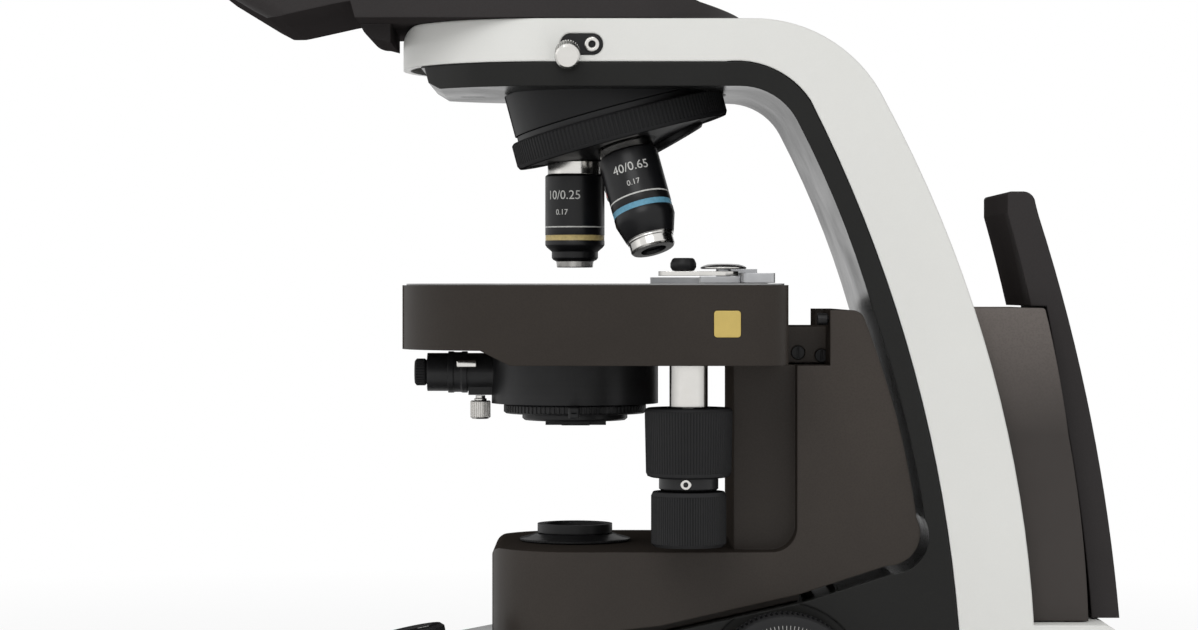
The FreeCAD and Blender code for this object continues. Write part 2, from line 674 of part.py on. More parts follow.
place(tension, (0, S["focus_y"], S["focus_z"]))
keep(tension)

# Stage: a casing with a skirt, a metal top plate and the cross carriage on it.


def stage_plan(back_off, side_off, front_off):
    """The stage's outline seen from above, taken in by the three amounts."""
    side = S["stage_half"] - side_off
    front = S["stage_front"] - front_off
    back = S["stage_back"] - back_off
    r = S["stage_corner"] - side_off
    q = S["stage_rear_corner"] - side_off
    return [
        (-side + r, -front, r), (side - r, -front), (side, -front + r, r), (side, back - q),
        (side - q, back, q), (-side + q, back), (-side, back - q, q), (-side, -front + r),
    ]


stage_top = S["stage_top"]
plate_low = stage_top - S["plate_thick"]
ceiling = plate_low - S["stage_roof"]
casing = slab("stage_casing", "XY", [stage_plan(0, 0, 0)], S["stage_low"], stage_top - 0.6 - S["stage_low"])
cut_pad(casing, "XY", [stage_plan(1.5, 1.5, 1.5)], plate_low, 6.0)
cut_pad(casing, "XY", [stage_plan(3.0, 3.0, 3.0)], S["stage_low"] - 1, ceiling - S["stage_low"] + 1)
lift = [
    (-S["stage_front"] - 4, S["stage_low"] - 1), (-24.0, S["stage_low"] - 1), (-24.0, S["stage_low"]),
    (-35.5, S["stage_skirt"]), (-S["stage_front"] - 4, S["stage_skirt"]),
]
cut_pad(casing, "YZ", [lift], -S["stage_half"] - 2, S["stage_half"] * 2 + 4)
cut_pad(casing, "XY", [box(-47.5, 62.0, 47.5, 90.0)], S["stage_low"] - 1, ceiling - S["stage_low"] + 1)
cut_pad(casing, "XY", [("circle", 0, 0, 19.0)], 190.0, 30.0)
cut_pad(casing, "YZ", [soft_box(53.8, 189.8, 64.2, 200.2, 1.3)], S["stage_half"] - 0.8, 3.0)
keep(casing)
badge = slab("stage_badge", "YZ", [soft_box(53.9, 189.9, 64.1, 200.1, 1.2)], S["stage_half"] - 0.8, 0.9)
keep(badge)
top_plate = slab("stage_plate", "XY", [stage_plan(1.6, 1.6, 1.6)], plate_low, S["plate_thick"])
cut_pad(top_plate, "XY", [("circle", 0, 0, 17.0)], plate_low - 1, 6.0)
for x0, x1 in ((58.7, 65.3), (-65.3, -58.7)):
    cut_pad(top_plate, "XY", [box(x0, 27.0, x1, 81.2)], plate_low - 1, 6.0)
keep(top_plate)
carriage = slab("y_carriage", "XY", [soft_box(-78.0, S["carriage_y"] - 6.3, 78.0, S["carriage_y"] + 6.3, 2.0)], stage_top + gap, 3.8)
for x0, x1 in ((59.0, 65.0), (-65.0, -59.0)):
    add_pad(carriage, "XY", [box(x0, S["carriage_y"] - 4.0, x1, S["carriage_y"] + 4.0)], plate_low + gap, 2.6)
cut_pad(carriage, "XY", [box(-74.0, S["carriage_y"] - 2.1, 74.0, S["carriage_y"] + 2.1)], stage_top + gap + 1.9, 3.0)
keep(carriage)
x_pivot = S["holder_x"]
y_pivot = S["pivot_y"]
floor = stage_top + gap
holder = slab("specimen_holder", "XY", [[
    (-46.5, 32.0), (-38.6, 32.0), (-38.6, 53.3), (38.4, 53.3), (38.4, 50.4), (55.4, 50.4), (55.4, 66.0),
    (-44.5, 66.0), (-46.5, 64.0, 2.0),
]], floor, 2.6)
add_pad(holder, "XY", [box(-26.0, 64.0, 26.0, S["carriage_y"] + 1.8)], stage_top + gap + 4.1, 1.6)
add_pad(holder, "XY", [box(-26.0, 60.0, 26.0, 65.9)], stage_top + gap + 2.4, 3.3)
add_pad(holder, "XY", [box(-26.0, S["carriage_y"] - 1.8, 26.0, S["carriage_y"] + 1.8)], stage_top + gap + 2.2, 2.2)
add_pad(holder, "XY", [("circle", x_pivot, y_pivot, 3.0)], floor + 2.4, 3.1)
keep(holder)
finger = slab("holder_finger", "XY", [[
    (x_pivot - 7.2, 55.0), (x_pivot - 7.2, 35.6), (x_pivot - 5.4, 33.8, 1.8), (x_pivot - 1.0, 33.8),
    (x_pivot + 3.0, 38.0, 4.2), (x_pivot + 3.0, 50.0), (x_pivot + 6.0, y_pivot, 20.0),
    (x_pivot, y_pivot + 6.0, 6.0), (x_pivot - 6.0, y_pivot, 6.0),
]], floor + 2.6 + gap, 1.8)
cut_pad(finger, "XY", [("circle", x_pivot, y_pivot, 3.06)], floor + 2, 4.0)
keep(finger)
keep(slab("finger_knob", "XY", [("circle", x_pivot - 2.2, 43.8, 5.3)], floor + 4.4 + gap, 6.3 - gap * 3))
disc = slab("pivot_disc", "XY", [("circle", x_pivot, y_pivot, 9.3)], floor + 4.7 + gap + 0.5, 2.2)
cut_pad(disc, "XY", [box(x_pivot - 10, y_pivot - 0.6, x_pivot + 10, y_pivot + 0.6)], floor + 6.5, 3.0)
keep(disc)

# Coaxial stage drive hanging under the right side of the stage.
column = new_body("drive_column")
add_turn(column, [[(0, 109.0), (S["drive_spindle"], 109.0), (S["drive_spindle"], 162.4), (7.5, 162.4), (7.5, ceiling), (0, ceiling)]])
place(column, (S["drive_x"], S["drive_y"], 0))
keep(column)
bore = S["drive_spindle"] + S["running"]
upper = turned("y_knob", [(bore, 129.9), (11.8, 129.9), (11.8, 135.0), (17.2, 135.0), (17.2, 162.1), (bore, 162.1)])
keep(place(upper, (S["drive_x"], S["drive_y"], 0)))
lower = turned("x_knob", [
    (0, 107.7), (13.7, 107.7), (14.7, 108.7), (14.7, 129.6), (bore, 129.6), (bore, 108.7), (0, 108.7),
])
keep(place(lower, (S["drive_x"], S["drive_y"], 0)))

# Condenser: a body on a vertical rail under the stage.
carrier = slab("condenser_carrier", "XY", [box(-58.0, -13.0, -46.3, 13.0)], 150.0, ceiling - 150.0)
add_pad(carrier, "XY", [box(-46.5, -6.0, -41.0, 6.0)], 150.0, 44.0)
keep(carrier)
con = turned("condenser_body", [
    (9.0, 161.2), (S["condenser_r"], 161.2), (S["condenser_r"], 184.0), (26.0, 188.0), (16.0, 199.5),
    (12.5, 204.0), (12.5, 207.6), (10.2, 207.6), (10.2, 204.4), (9.0, 204.4),
])
add_pad(con, "XY", [box(-46.0, -12.0, -30.0, 12.0)], 164.0, 18.0)
cut_pad(con, "XY", [box(-47.0, -6.3, -40.7, 6.3)], 160.0, 30.0)
add_pad(con, "XY", [box(-5.0, -44.0, 5.0, -32.0)], 164.6, 5.6)
add_pad(con, "XZ", [("circle", 0, 174.0, 7.9)], S["condenser_r"] - 2.0, 28.6)
keep(con)
low_ring = turned("aperture_ring", [
    (8.0, S["condenser_low"]), (21.8, S["condenser_low"]), (21.8, 157.0), (29.5, 157.0), (29.5, 160.9),
    (8.0, 160.9),
])
add_pad(low_ring, "XY", [soft_box(28.0, -2.2, 46.0, 2.2, 1.5)], 157.2, 2.6)
keep(low_ring)
keep(turned("condenser_lens", [(0, 204.4), (10.1, 204.4), (10.1, 206.6), (7.0, 207.8), (0, 207.8)]))
knurl = slab("condenser_knob", "XZ", [("circle", 0, 174.0, 5.8)], S["condenser_r"] + 26.6 + gap, 5.2)
keep(knurl)
keep(place(turned("condenser_clamp", [
    (0, 154.4), (4.3, 154.4), (4.3, 164.0), (2.0, 164.0), (2.0, 164.3), (0, 164.3),
]), (0, -39.2, 0)))

# Nosepiece: four places on a turret whose axis leans back, so the one in use is upright.
apex = (0, 0, S["apex_z"])
swing = S["tilt"]
level = drop * drop
places = {
    "use": ((1, 0, 0), 0, (0, 0, -1)),
    "right": ((drop, -1, 0), acos(level), (lean, lean * drop, -level)),
    "back": ((1, 0, 0), swing * 2, (0, sin(swing * 2), -cos(swing * 2))),
    "left": ((drop, 1, 0), acos(level), (-lean, lean * drop, -level)),
}


def at_seat(key, run=0):
    """Where an objective's shoulder sits, further along its own axis by run."""
    way = places[key][2]
    reach = seat + run
    return (way[0] * reach, way[1] * reach, S["apex_z"] + way[2] * reach)


turret_blank = turned("turret", [
    (S["pin_r"] + S["running"], seat - 18.3), (S["turret_r"], seat - 18.3), (S["turret_r"], seat - 5.8),
    (38.5, seat - 5.8), (12.0, seat + 0.2), (S["pin_r"] + S["running"], seat + 0.2),
])
place(turret_blank, apex, (1, 0, 0), down)
bosses = []
bores = []
for key in places:
    axis, angle, way = places[key]
    bosses.append(cylinder("boss_" + key, 13.2, 9.0, at_seat(key, 0), axis, angle))
    bores.append(cylinder("bore_" + key, S["thread_r"] + S["running"], 40.0, at_seat(key, 6.0), axis, angle))
    bores.append(cylinder("flat_" + key, 13.2, 12.0, at_seat(key, 12.0), axis, angle))
turret_sum = fused("turret_sum", [turret_blank] + bosses)
turret_blank.Label = "turret_disc"
keep(carved("turret", turret_sum, fused("turret_bores", bores)))
grip = turned("turret_grip", [
    (S["turret_r"] + S["running"], seat - 16.0), (grip_r, seat - 16.0), (grip_r, seat - 5.0),
    (S["turret_r"] + S["running"], seat - 5.0),
])
keep(place(grip, apex, (1, 0, 0), down))


def objective(label, key, outside):
    """An objective hanging from its shoulder, hollow down to its front lens."""
    reach = outside[-1][1]
    profile = [(5.0, 4.5), (5.0, reach + 2.0), (0, reach + 2.0)]
    profile += [(0, reach)] + list(reversed(outside)) + [(S["thread_r"], 0), (S["thread_r"], 4.5)]
    body = turned(label, profile)
    axis, angle, way = places[key]
    return keep(place(body, at_seat(key), axis, angle))


objective("objective_10x", "use", [
    (11.3, 0), (11.3, -6.0), (S["barrel_r"], -6.2), (S["barrel_r"], -34.8), (9.0, -37.5), (7.6, -40.5), (7.6, -44.2),
])
objective("objective_40x", "right", [
    (11.3, 0), (11.3, -4.6), (S["barrel_r"], -4.8), (S["barrel_r"], -33.4), (11.2, -35.4), (9.0, -42.6), (9.0, -46.0),
])
objective("objective_4x", "left", [
    (11.3, 0), (11.3, -4.6), (S["barrel_r"], -4.8), (S["barrel_r"], -19.0), (10.8, -22.0),
])
cap = turned("port_cap", [
    (0, -3.0), (11.6, -3.0), (12.4, -2.2), (12.4, 0), (S["thread_r"], 0), (S["thread_r"], 3.5), (8.5, 3.5),
    (8.5, 0.5), (0, 0.5),
])
keep(place(cap, at_seat("back"), *places["back"][:2]))

# Head seat in the arm, and the side inlay with its hexagon socket screw.
keep(turned("head_seat", [(26.2, 306.0), (33.0, 306.0), (33.0, top), (28.0, top), (28.0, 311.0), (26.2, 309.0)]))
inlay = slab("slot_inlay", "YZ", [soft_box(-5.3, 301.2, 11.5, 309.5, 4.1)], half - 1.0, 0.8)
add_pad(inlay, "YZ", [("circle", 7.2, 305.3, 3.0)], half - 0.4, 0.9)
cut_pad(inlay, "YZ", [("circle", 7.2, 305.3, 1.5)], half - 0.2, 2.0)
keep(inlay)

# Head: a wedge whose front face looks along the eyepieces.
tip_up = 90.0 - S["incline"]
rise = sin(S["incline"])
run = cos(S["incline"])


def ahead(t, p):
    """Side view point t along the eyepiece axis and p above it."""
    return (p * rise - t * run, S["head_z"] + t * rise + p * run)


face = S["face_run"]
head_low = top + gap
low_front = ahead(face, -81.4)
high_front = ahead(face, 27.6)
high_back = ahead(face - 34.0, 30.0)
head_outline = [
    (-86.7, head_low), (67.8, head_low), (66.5, head_low + 2.5), (50.0, 322.8), (20.0, 336.5), (0.0, 352.0),
    high_back, high_front, low_front, (-127.5, 319.0), (-122.0, 316.1), (-117.0, 316.4), (-95.0, 321.3),
    (-88.5, 322.5),
]
head = slab("head_housing", "YZ", [head_outline], -half, half * 2)
soften(head, lambda e: abs(abs(e.CenterOfMass.x) - num(half)) < 0.01 and e.CenterOfMass.z > 319.0
       and abs(e.CenterOfMass.y + 90.0) > 9.0, 6.0)
cut_pad(head, "XY", [[
    (-half - 8, 27.8), (-half, 27.8), (-half + 40, 67.8, -40.0), (half - 40, 67.8), (half, 27.8, -40.0), (half + 8, 27.8),
    (half + 8, 90.0), (-half - 8, 90.0),
]], 300.0, 60.0)
lip = [(-86.7, 317.0), (-78.5, 309.4, 7.7), (-74.5, 308.4), (-74.5, head_low + 3), (-86.7, head_low + 3)]
add_pad(head, "YZ", [lip], -30.0, 60.0)
add_pad(head, "XY", [("circle", 0, 0, 25.8), ("circle", 0, 0, 15.0)], 309.4, 10.0)
cut_pad(head, "XY", [("circle", 0, 0, 15.0)], 309.0, 30.0)
keep(head)
clamp = turned("head_clamp", [(0, -1.0), (1.5, -1.0), (1.5, 0.4), (5.2, 0.9), (5.2, 10.8), (4.5, 11.5), (0, 11.5)])
keep(place(clamp, (half + 1.7, -2.4, 302.4), (0, 1, 0), 105.0))


def on_head(cx, cy):
    """A point in the plane across the eyepiece axis, at the head's own axis start."""
    return (cx, cy * rise, S["head_z"] + cy * run)


spot_x = S["arm_run"] * sin(S["spread"])
spot_y = -(S["arm_run"] * cos(S["spread"]))
for side, name, start in ((-1, "left", face + gap), (1, "right", face + gap + 8.3)):
    arm = new_body(name + "_tube")
    cx = spot_x * side
    add_pad(arm, "XY", [("circle", 0, 0, 16.0)], start, 8.0)
    add_pad(arm, "XY", [("circle", cx, spot_y, 23.0)], start, 8.0)
    add_pad(arm, "XY", [("circle", cx, spot_y, S["tube_r"])], start + 7.5, face + 36.0 - start - 7.5)
    cut_pad(arm, "XY", [("circle", cx, spot_y, S["eyepiece_r"] + S["running"])], start + 2.0, 60.0)
    place(arm, (0, 0, S["head_z"]), (1, 0, 0), tip_up)
    keep(arm)
    seat_run = face + 36.0
    lift_off = 5.5 if side < 0 else 0.0
    ocular = turned(name + "_eyepiece", [
        (0, seat_run - 20.0), (S["eyepiece_r"], seat_run - 20.0), (S["eyepiece_r"], seat_run + lift_off),
        (19.4, seat_run + lift_off), (19.4, seat_run + 17.0), (16.0, seat_run + 22.0), (16.0, seat_run + 27.0),
        (11.0, seat_run + 27.0), (10.0, seat_run + 25.0), (0, seat_run + 25.0),
    ])
    keep(place(ocular, on_head(cx, spot_y), (1, 0, 0), tip_up))
    cup = turned(name + "_eyecup", [
        (16.0, seat_run + 22.4), (20.0, seat_run + 21.0), (20.6, seat_run + 26.0), (18.6, seat_run + 33.0),
        (17.0, seat_run + 33.0), (17.6, seat_run + 27.4), (13.0, seat_run + 27.4), (13.0, seat_run + 27.0),
        (16.0, seat_run + 27.0),
    ])
    keep(place(cup, on_head(cx, spot_y), (1, 0, 0), tip_up))
diopter = turned("diopter_ring", [
    (S["eyepiece_r"] + S["running"], face + 36.0 + gap), (19.0, face + 36.0 + gap), (19.4, face + 37.0),
    (19.4, face + 41.2), (S["eyepiece_r"] + S["running"], face + 41.2),
])
keep(place(diopter, on_head(-spot_x, spot_y), (1, 0, 0), tip_up))

# Controls: the brightness dial on the deck, the stage stop and the power switch.
dial = turned("brightness_dial", [
    (0, 0.4), (S["dial_r"], 0.4), (S["dial_r"], 7.4), (S["dial_r"] - 1.4, 9.0), (0, 9.0),
])
add_turn(dial, [rod(2.5, -9.0, 1.0)])
keep(place(dial, (S["dial_x"], -S["dial_y"], 62.9), (1, 0, 0), 12.0))
keep(place(turned("stop_knob", [(0, 0), (1.2, 0), (1.2, 0.4), (2.4, 0.4), (2.4, 4.6), (0, 4.6)]), (50.0, S["body_front"] - 0.1, 196.4), (1, 0, 0), 90.0))
switch = slab("power_switch", "YZ", [[
    (-6.0, -4.0), (-2.0, -4.6), (2.0, -4.6), (6.0, -4.0), (7.6, 4.0), (0, 2.6, 30.0), (-7.6, 4.0, 30.0),
]], -5.6, 11.2)
keep(place(switch, (-24.0, 224.0, 34.0), (1, 0, 0), 270.0))

doc.recompute()
faults = [thing.Name for thing in doc.Objects if "Invalid" in thing.State or "Error" in thing.State]
if faults:
    raise RuntimeError("did not recompute: " + ", ".join(faults))
os.makedirs("parts", exist_ok=True)
for thing in nodes:
    shape = thing.Shape
    if shape.isNull() or not shape.isValid() or not shape.Solids:
        raise RuntimeError("bad shape: " + thing.Label)
    shape.exportStep(f"parts/{thing.Label}.step")
print(len(nodes), "pieces")
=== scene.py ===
"""Looks of an upright laboratory microscope, as an add-on with one operator for each group of pieces."""
import math

import bmesh
import bpy
from bpy.props import FloatProperty, FloatVectorProperty, IntProperty, PointerProperty
from mathutils import Matrix, Vector


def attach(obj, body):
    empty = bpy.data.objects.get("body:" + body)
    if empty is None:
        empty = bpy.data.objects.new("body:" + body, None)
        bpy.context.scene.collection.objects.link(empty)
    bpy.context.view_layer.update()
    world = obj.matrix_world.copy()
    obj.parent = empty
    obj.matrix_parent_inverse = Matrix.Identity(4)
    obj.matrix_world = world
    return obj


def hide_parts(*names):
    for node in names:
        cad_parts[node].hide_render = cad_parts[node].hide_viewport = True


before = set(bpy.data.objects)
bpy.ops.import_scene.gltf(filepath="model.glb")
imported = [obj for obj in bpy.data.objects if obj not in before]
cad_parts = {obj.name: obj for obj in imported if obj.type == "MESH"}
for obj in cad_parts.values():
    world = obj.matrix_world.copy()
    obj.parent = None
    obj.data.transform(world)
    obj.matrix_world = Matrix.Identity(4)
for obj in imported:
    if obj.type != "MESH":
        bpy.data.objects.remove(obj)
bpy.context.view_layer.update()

bl_info = {
    "name": "Upright microscope",
    "version": (1, 0, 0),
    "blender": (4, 5, 0),
    "location": "View3D > Sidebar > Microscope",
    "description": "Dresses the packed microscope with its finishes, grips, optics and fittings",
    "category": "Object",
}

MM = 0.001

# Corners of a mesh closer together than this, in metres, become one
SAME_POINT = 1e-7

# The nosepiece turns about a tilted axis through this point; the shoulders of the objectives lie this far off
APEX = Vector((0.0, 0.0, 343.8)) * MM
TURRET_AXIS = Vector((0.0, math.sin(math.radians(15)), -math.cos(math.radians(15))))
SHOULDER = 82.3 * MM
PLACES = {
    "in_use": Vector((0.0, 0.0, -1.0)),
    "right": Vector((0.258819, 0.25, -0.933013)),
    "left": Vector((-0.258819, 0.25, -0.933013)),
    "back": Vector((0.0, 0.5, -0.866025)),
}

# Radii on an objective: where its figures lie, its front opening and the lens in it
BARREL_R = 12.34
OPENING_R = 5.2
FRONT_LENS_R = 4.9

# The eyepieces look along this axis, aside of and below the head's middle line
EYE_AXIS = Vector((0.0, -0.866025, 0.5))
EYE_UP = Vector((0.0, 0.5, 0.866025))
EYE_START = Vector((0.0, 0.0, 340.0)) * MM
EYE_ASIDE = 32.0 * MM
EYE_DROP = 19.5 * MM
TUBE_END = 158.0 * MM

# Axes of the focus knobs and of the stage drive, and the tilts of the head clamp and the brightness dial
FOCUS_AXIS = Vector((0.0, 83.0, 52.0)) * MM
DRIVE_AXIS = Vector((77.0, 45.0, 0.0)) * MM
CLAMP_TILT = math.radians(105)
DIAL_TILT = math.radians(12.0)

# Levels of the scales on the specimen holder and on the coarse knob
HOLDER_TOP = 213.42
KNOB_FACE = 81.93

# The photograph's frame: its width, how far it is shifted up, and where its camera stands along the stand
FRAME_WIDTH = 36.0
FRAME_SHIFT = -25.0 / 1198.0
CAMERA_ASIDE = 0.010

# Where each lamp stands, what it looks at, and its width
LAMPS = {
    "key": ((1.5, -0.35, 1.35), (0.0, 0.03, 0.2), 1.1),
    "fill": ((0.35, -1.7, 0.75), (0.0, 0.0, 0.2), 1.0),
    "top": ((-0.25, 0.35, 1.9), (0.0, 0.03, 0.25), 1.2),
}


def tone(red, green, blue):
    """A colour read off a screen, 0 to 255, as the linear colour that a shader takes."""
    linear = []
    for part in (red, green, blue):
        share = part / 255
        linear.append(share / 12.92 if share <= 0.04045 else ((share + 0.055) / 1.055) ** 2.4)
    return tuple(linear)


# Sizes and colours that a user would change

def shade(name, description, red, green, blue):
    """A colour setting, its default read off a screen."""
    return FloatVectorProperty(
        name=name, description=description, subtype="COLOR", default=tone(red, green, blue))


def length(name, description, default):
    """A length setting in metres."""
    return FloatProperty(
        name=name, description=description, default=default, unit="LENGTH", subtype="DISTANCE")


def power(name, description, default):
    """A lamp power setting in watts."""
    return FloatProperty(name=name, description=description, default=default, unit="POWER", subtype="POWER")


def count(name, description, default, low, high):
    """A whole number setting between two bounds."""
    return IntProperty(name=name, description=description, default=default, min=low, max=high)


class MicroscopeColours(bpy.types.PropertyGroup):
    """Colours of the painted, moulded and plated finishes."""
    cover: shade("Cover", "White painted shell of the arm", 229, 229, 225)
    casting: shade("Casting", "Dark band between the shell and the body", 34, 34, 33)
    body: shade("Body", "Brown black moulding of the stand and stage", 58, 53, 49)
    rear: shade("Rear housing", "Taupe moulding behind the arm", 80, 75, 72)
    shell: shade("Head and cord bracket", "Charcoal mouldings", 50, 47, 47)
    rubber: shade("Grip rubber", "Knobs, eyecups and feet", 30, 30, 31)
    barrel: shade("Objective barrel", "Black lacquer of the objectives", 17, 17, 19)
    plating: shade("Plating", "Satin chrome on collars and screws", 222, 220, 216)
    badge: shade("Stage square", "Gold coloured inlay on the stage", 198, 174, 100)
    ring_ten: shade("Ring of the 10", "Colour ring of the objective in use", 206, 184, 122)
    ring_forty: shade("Ring of the 40", "Colour ring of the high power objective", 104, 166, 194)
    ring_four: shade("Ring of the 4", "Colour ring of the low power objective", 188, 44, 40)
    ink: shade("Figures", "White ink of the figures and scales", 214, 214, 210)


class MicroscopeSizes(bpy.types.PropertyGroup):
    """Sizes of the grips and small details."""
    drive_ribs: count("Drive ribs", "Ribs round each stage drive knob", 90, 24, 120)
    drive_rib: length("Drive rib depth", "How far the drive ribs stand in from the rim", 0.3 * MM)
    focus_ribs: count("Focus ribs", "Ribs round a coarse focus knob", 90, 24, 120)
    focus_rib: length("Focus rib depth", "Depth of the grooves in the focus knobs", 0.45 * MM)
    turret_ribs: count("Nosepiece ribs", "Ribs round the nosepiece grip", 150, 48, 180)
    turret_rib: length("Nosepiece rib depth", "Depth of the grooves in the nosepiece grip", 0.35 * MM)
    figure_height: length("Figure size", "Type size of the figures on the objectives", 5.2 * MM)
    screw_knurls: count("Thumb screw knurls", "Knurls round each small thumb screw", 30, 16, 48)


class MicroscopeStudio(bpy.types.PropertyGroup):
    """Camera, floor and lamps."""
    camera_away: length("Camera distance", "From the optical axis to the camera", 1.3)
    eye_level: length("Eye level", "Camera height over the table", 0.208)
    lens: FloatProperty(
        name="Lens", description="Focal length on a 36 mm wide frame", default=94.13, unit="CAMERA")
    floor_half: length("Floor radius", "Radius of the pale floor", 1.1)
    key: power("Key lamp", "Power of the large lamp above the camera", 9.0)
    fill: power("Fill lamp", "Power of the lamp in front of the user's side", 1.2)
    top: power("Top lamp", "Power of the lamp over the microscope", 7.0)
    room: FloatProperty(
        name="Room light", description="Strength of the even light all round", default=0.7)


def colours():
    """The colours kept in the scene."""
    return bpy.context.scene.microscope_colours


def sizes():
    """The sizes kept in the scene."""
    return bpy.context.scene.microscope_sizes


# Shader nodes

def add_node(tree, kind, **settings):
    """Adds a node, sets its properties, and sets or links its inputs given as a dict under inputs."""
    node = tree.nodes.new(kind)
    values = settings.pop("inputs", {})
    for key, value in settings.items():
        setattr(node, key, value)
    for key, value in values.items():
        socket = node.inputs[key]
        if isinstance(value, bpy.types.NodeSocket):
            tree.links.new(value, socket)
        else:
            socket.default_value = value
    return node


def arithmetic(tree, operation, first, second=0.0):
    """The output of a Math node."""
    node = add_node(tree, "ShaderNodeMath", operation=operation, inputs={0: first, 1: second})
    return node.outputs[0]


def rescaled(tree, value, low, high, new_low, new_high):
    """The output of a clamped Map Range node."""
    node = add_node(tree, "ShaderNodeMapRange", inputs={
        "Value": value, "From Min": low, "From Max": high, "To Min": new_low, "To Max": new_high})
    return node.outputs["Result"]


def noise(tree, vector, scale, detail, roughness, distortion=0.0):
    """The grey output of a Noise Texture node."""
    node = add_node(tree, "ShaderNodeTexNoise", inputs={
        "Vector": vector, "Scale": scale, "Detail": detail, "Roughness": roughness,
        "Distortion": distortion})
    return node.outputs["Fac"]


# Shader node groups shared by the finishes

def new_group(name, inputs, outputs):
    """An empty group that takes a vector and some numbers, with its input sockets and its output node."""
    group = bpy.data.node_groups.new(name, "ShaderNodeTree")
    group.interface.new_socket(name="Vector", in_out="INPUT", socket_type="NodeSocketVector")
    for label, default in inputs.items():
        socket = group.interface.new_socket(name=label, in_out="INPUT", socket_type="NodeSocketFloat")
        socket.default_value = default
    for label in outputs:
        kind = "NodeSocketVector" if label == "Normal" else "NodeSocketFloat"
        group.interface.new_socket(name=label, in_out="OUTPUT", socket_type=kind)
    return group, group.nodes.new("NodeGroupInput").outputs, group.nodes.new("NodeGroupOutput")


def finished_group(group, end, **results):
    """Links the results of a group to its outputs."""
    for label, socket in results.items():
        group.links.new(socket, end.inputs[label])
    return group


def moulded_grain():
    """Pebbled surface of moulded plastic and powder paint: its height, and where its hollows lie."""
    group, given, end = new_group(
        "Moulded grain", {"Pebbles per metre": 1400.0, "Softness": 0.5}, ("Height", "Hollows"))
    cells = add_node(group, "ShaderNodeTexVoronoi", feature="SMOOTH_F1", inputs={
        "Vector": given["Vector"], "Scale": given["Pebbles per metre"], "Smoothness": given["Softness"]})
    double = arithmetic(group, "MULTIPLY", given["Pebbles per metre"], 2.3)
    part = arithmetic(group, "MULTIPLY", cells.outputs["Distance"], 0.65)
    rest = arithmetic(group, "MULTIPLY", noise(group, given["Vector"], double, 3.0, 0.6), 0.35)
    height = arithmetic(group, "ADD", part, rest)
    return finished_group(group, end, Height=height, Hollows=rescaled(group, height, 0.25, 0.6, 1.0, 0.0))


def edge_wear():
    """Where hands and cloths have polished the edges of a piece, from rounded against flat normals."""
    group, given, end = new_group(
        "Edge wear", {"Width": 0.0009, "Patches per metre": 45.0}, ("Worn", "Normal"))
    rounded = add_node(group, "ShaderNodeBevel", samples=4, inputs={"Radius": given["Width"]})
    flat = add_node(group, "ShaderNodeNewGeometry")
    same = add_node(group, "ShaderNodeVectorMath", operation="DOT_PRODUCT", inputs={
        0: rounded.outputs["Normal"], 1: flat.outputs["Normal"]})
    bent = arithmetic(group, "SUBTRACT", 1.0, same.outputs["Value"])
    edge = rescaled(group, bent, 0.03, 0.3, 0.0, 1.0)
    patches = noise(group, given["Vector"], given["Patches per metre"], 5.0, 0.65)
    rubbed = rescaled(group, patches, 0.42, 0.66, 0.0, 1.0)
    worn = arithmetic(group, "MULTIPLY", edge, rubbed)
    return finished_group(group, end, Worn=worn, Normal=rounded.outputs["Normal"])


def handling_marks():
    """Cloudy smudges as a mask about one half, and a little dust settled on level faces."""
    group, given, end = new_group("Handling marks", {"Clouds per metre": 18.0}, ("Smudges", "Dust"))
    clouds = noise(group, given["Vector"], given["Clouds per metre"], 6.0, 0.58, 0.4)
    specks = noise(group, given["Vector"], 900.0, 2.0, 0.7)
    facing = add_node(group, "ShaderNodeNewGeometry")
    up = add_node(group, "ShaderNodeSeparateXYZ", inputs={0: facing.outputs["Normal"]})
    level = rescaled(group, up.outputs["Z"], 0.5, 1.0, 0.0, 1.0)
    grains = rescaled(group, specks, 0.62, 0.74, 0.0, 1.0)
    return finished_group(group, end, Smudges=clouds, Dust=arithmetic(group, "MULTIPLY", level, grains))


def turned_lines():
    """Fine rings that a lathe leaves round an axis, for a vector whose Z runs along that axis."""
    group, given, end = new_group("Turned lines", {"Lines per metre": 2600.0}, ("Height", "Streaks"))
    parts = add_node(group, "ShaderNodeSeparateXYZ", inputs={0: given["Vector"]}).outputs
    across = arithmetic(group, "MULTIPLY", parts["X"], parts["X"])
    along = arithmetic(group, "MULTIPLY", parts["Y"], parts["Y"])
    radius = arithmetic(group, "SQRT", arithmetic(group, "ADD", across, along))
    ring = add_node(group, "ShaderNodeCombineXYZ", inputs={"X": radius, "Z": parts["Z"]}).outputs[0]
    lines = noise(group, ring, given["Lines per metre"], 2.0, 0.55)
    coarse = arithmetic(group, "MULTIPLY", given["Lines per metre"], 0.12)
    return finished_group(group, end, Height=lines, Streaks=noise(group, ring, coarse, 4.0, 0.6))


GROUP_MAKERS = {
    "Moulded grain": moulded_grain,
    "Edge wear": edge_wear,
    "Handling marks": handling_marks,
    "Turned lines": turned_lines,
}


def shared(tree, name, **values):
    """The outputs of a shared group placed with its own values; underscores stand for spaces."""
    group = bpy.data.node_groups.get(name) or GROUP_MAKERS[name]()
    given = {key.replace("_", " "): value for key, value in values.items()}
    return add_node(tree, "ShaderNodeGroup", node_tree=group, inputs=given).outputs


# Steps shared by the materials

def bare_material(name):
    """A new material with its node tree, its Principled shader and the object coordinates."""
    material = bpy.data.materials.new(name)
    material.use_nodes = True
    tree = material.node_tree
    spot = add_node(tree, "ShaderNodeTexCoord")
    return material, tree, tree.nodes["Principled BSDF"], spot.outputs["Object"]


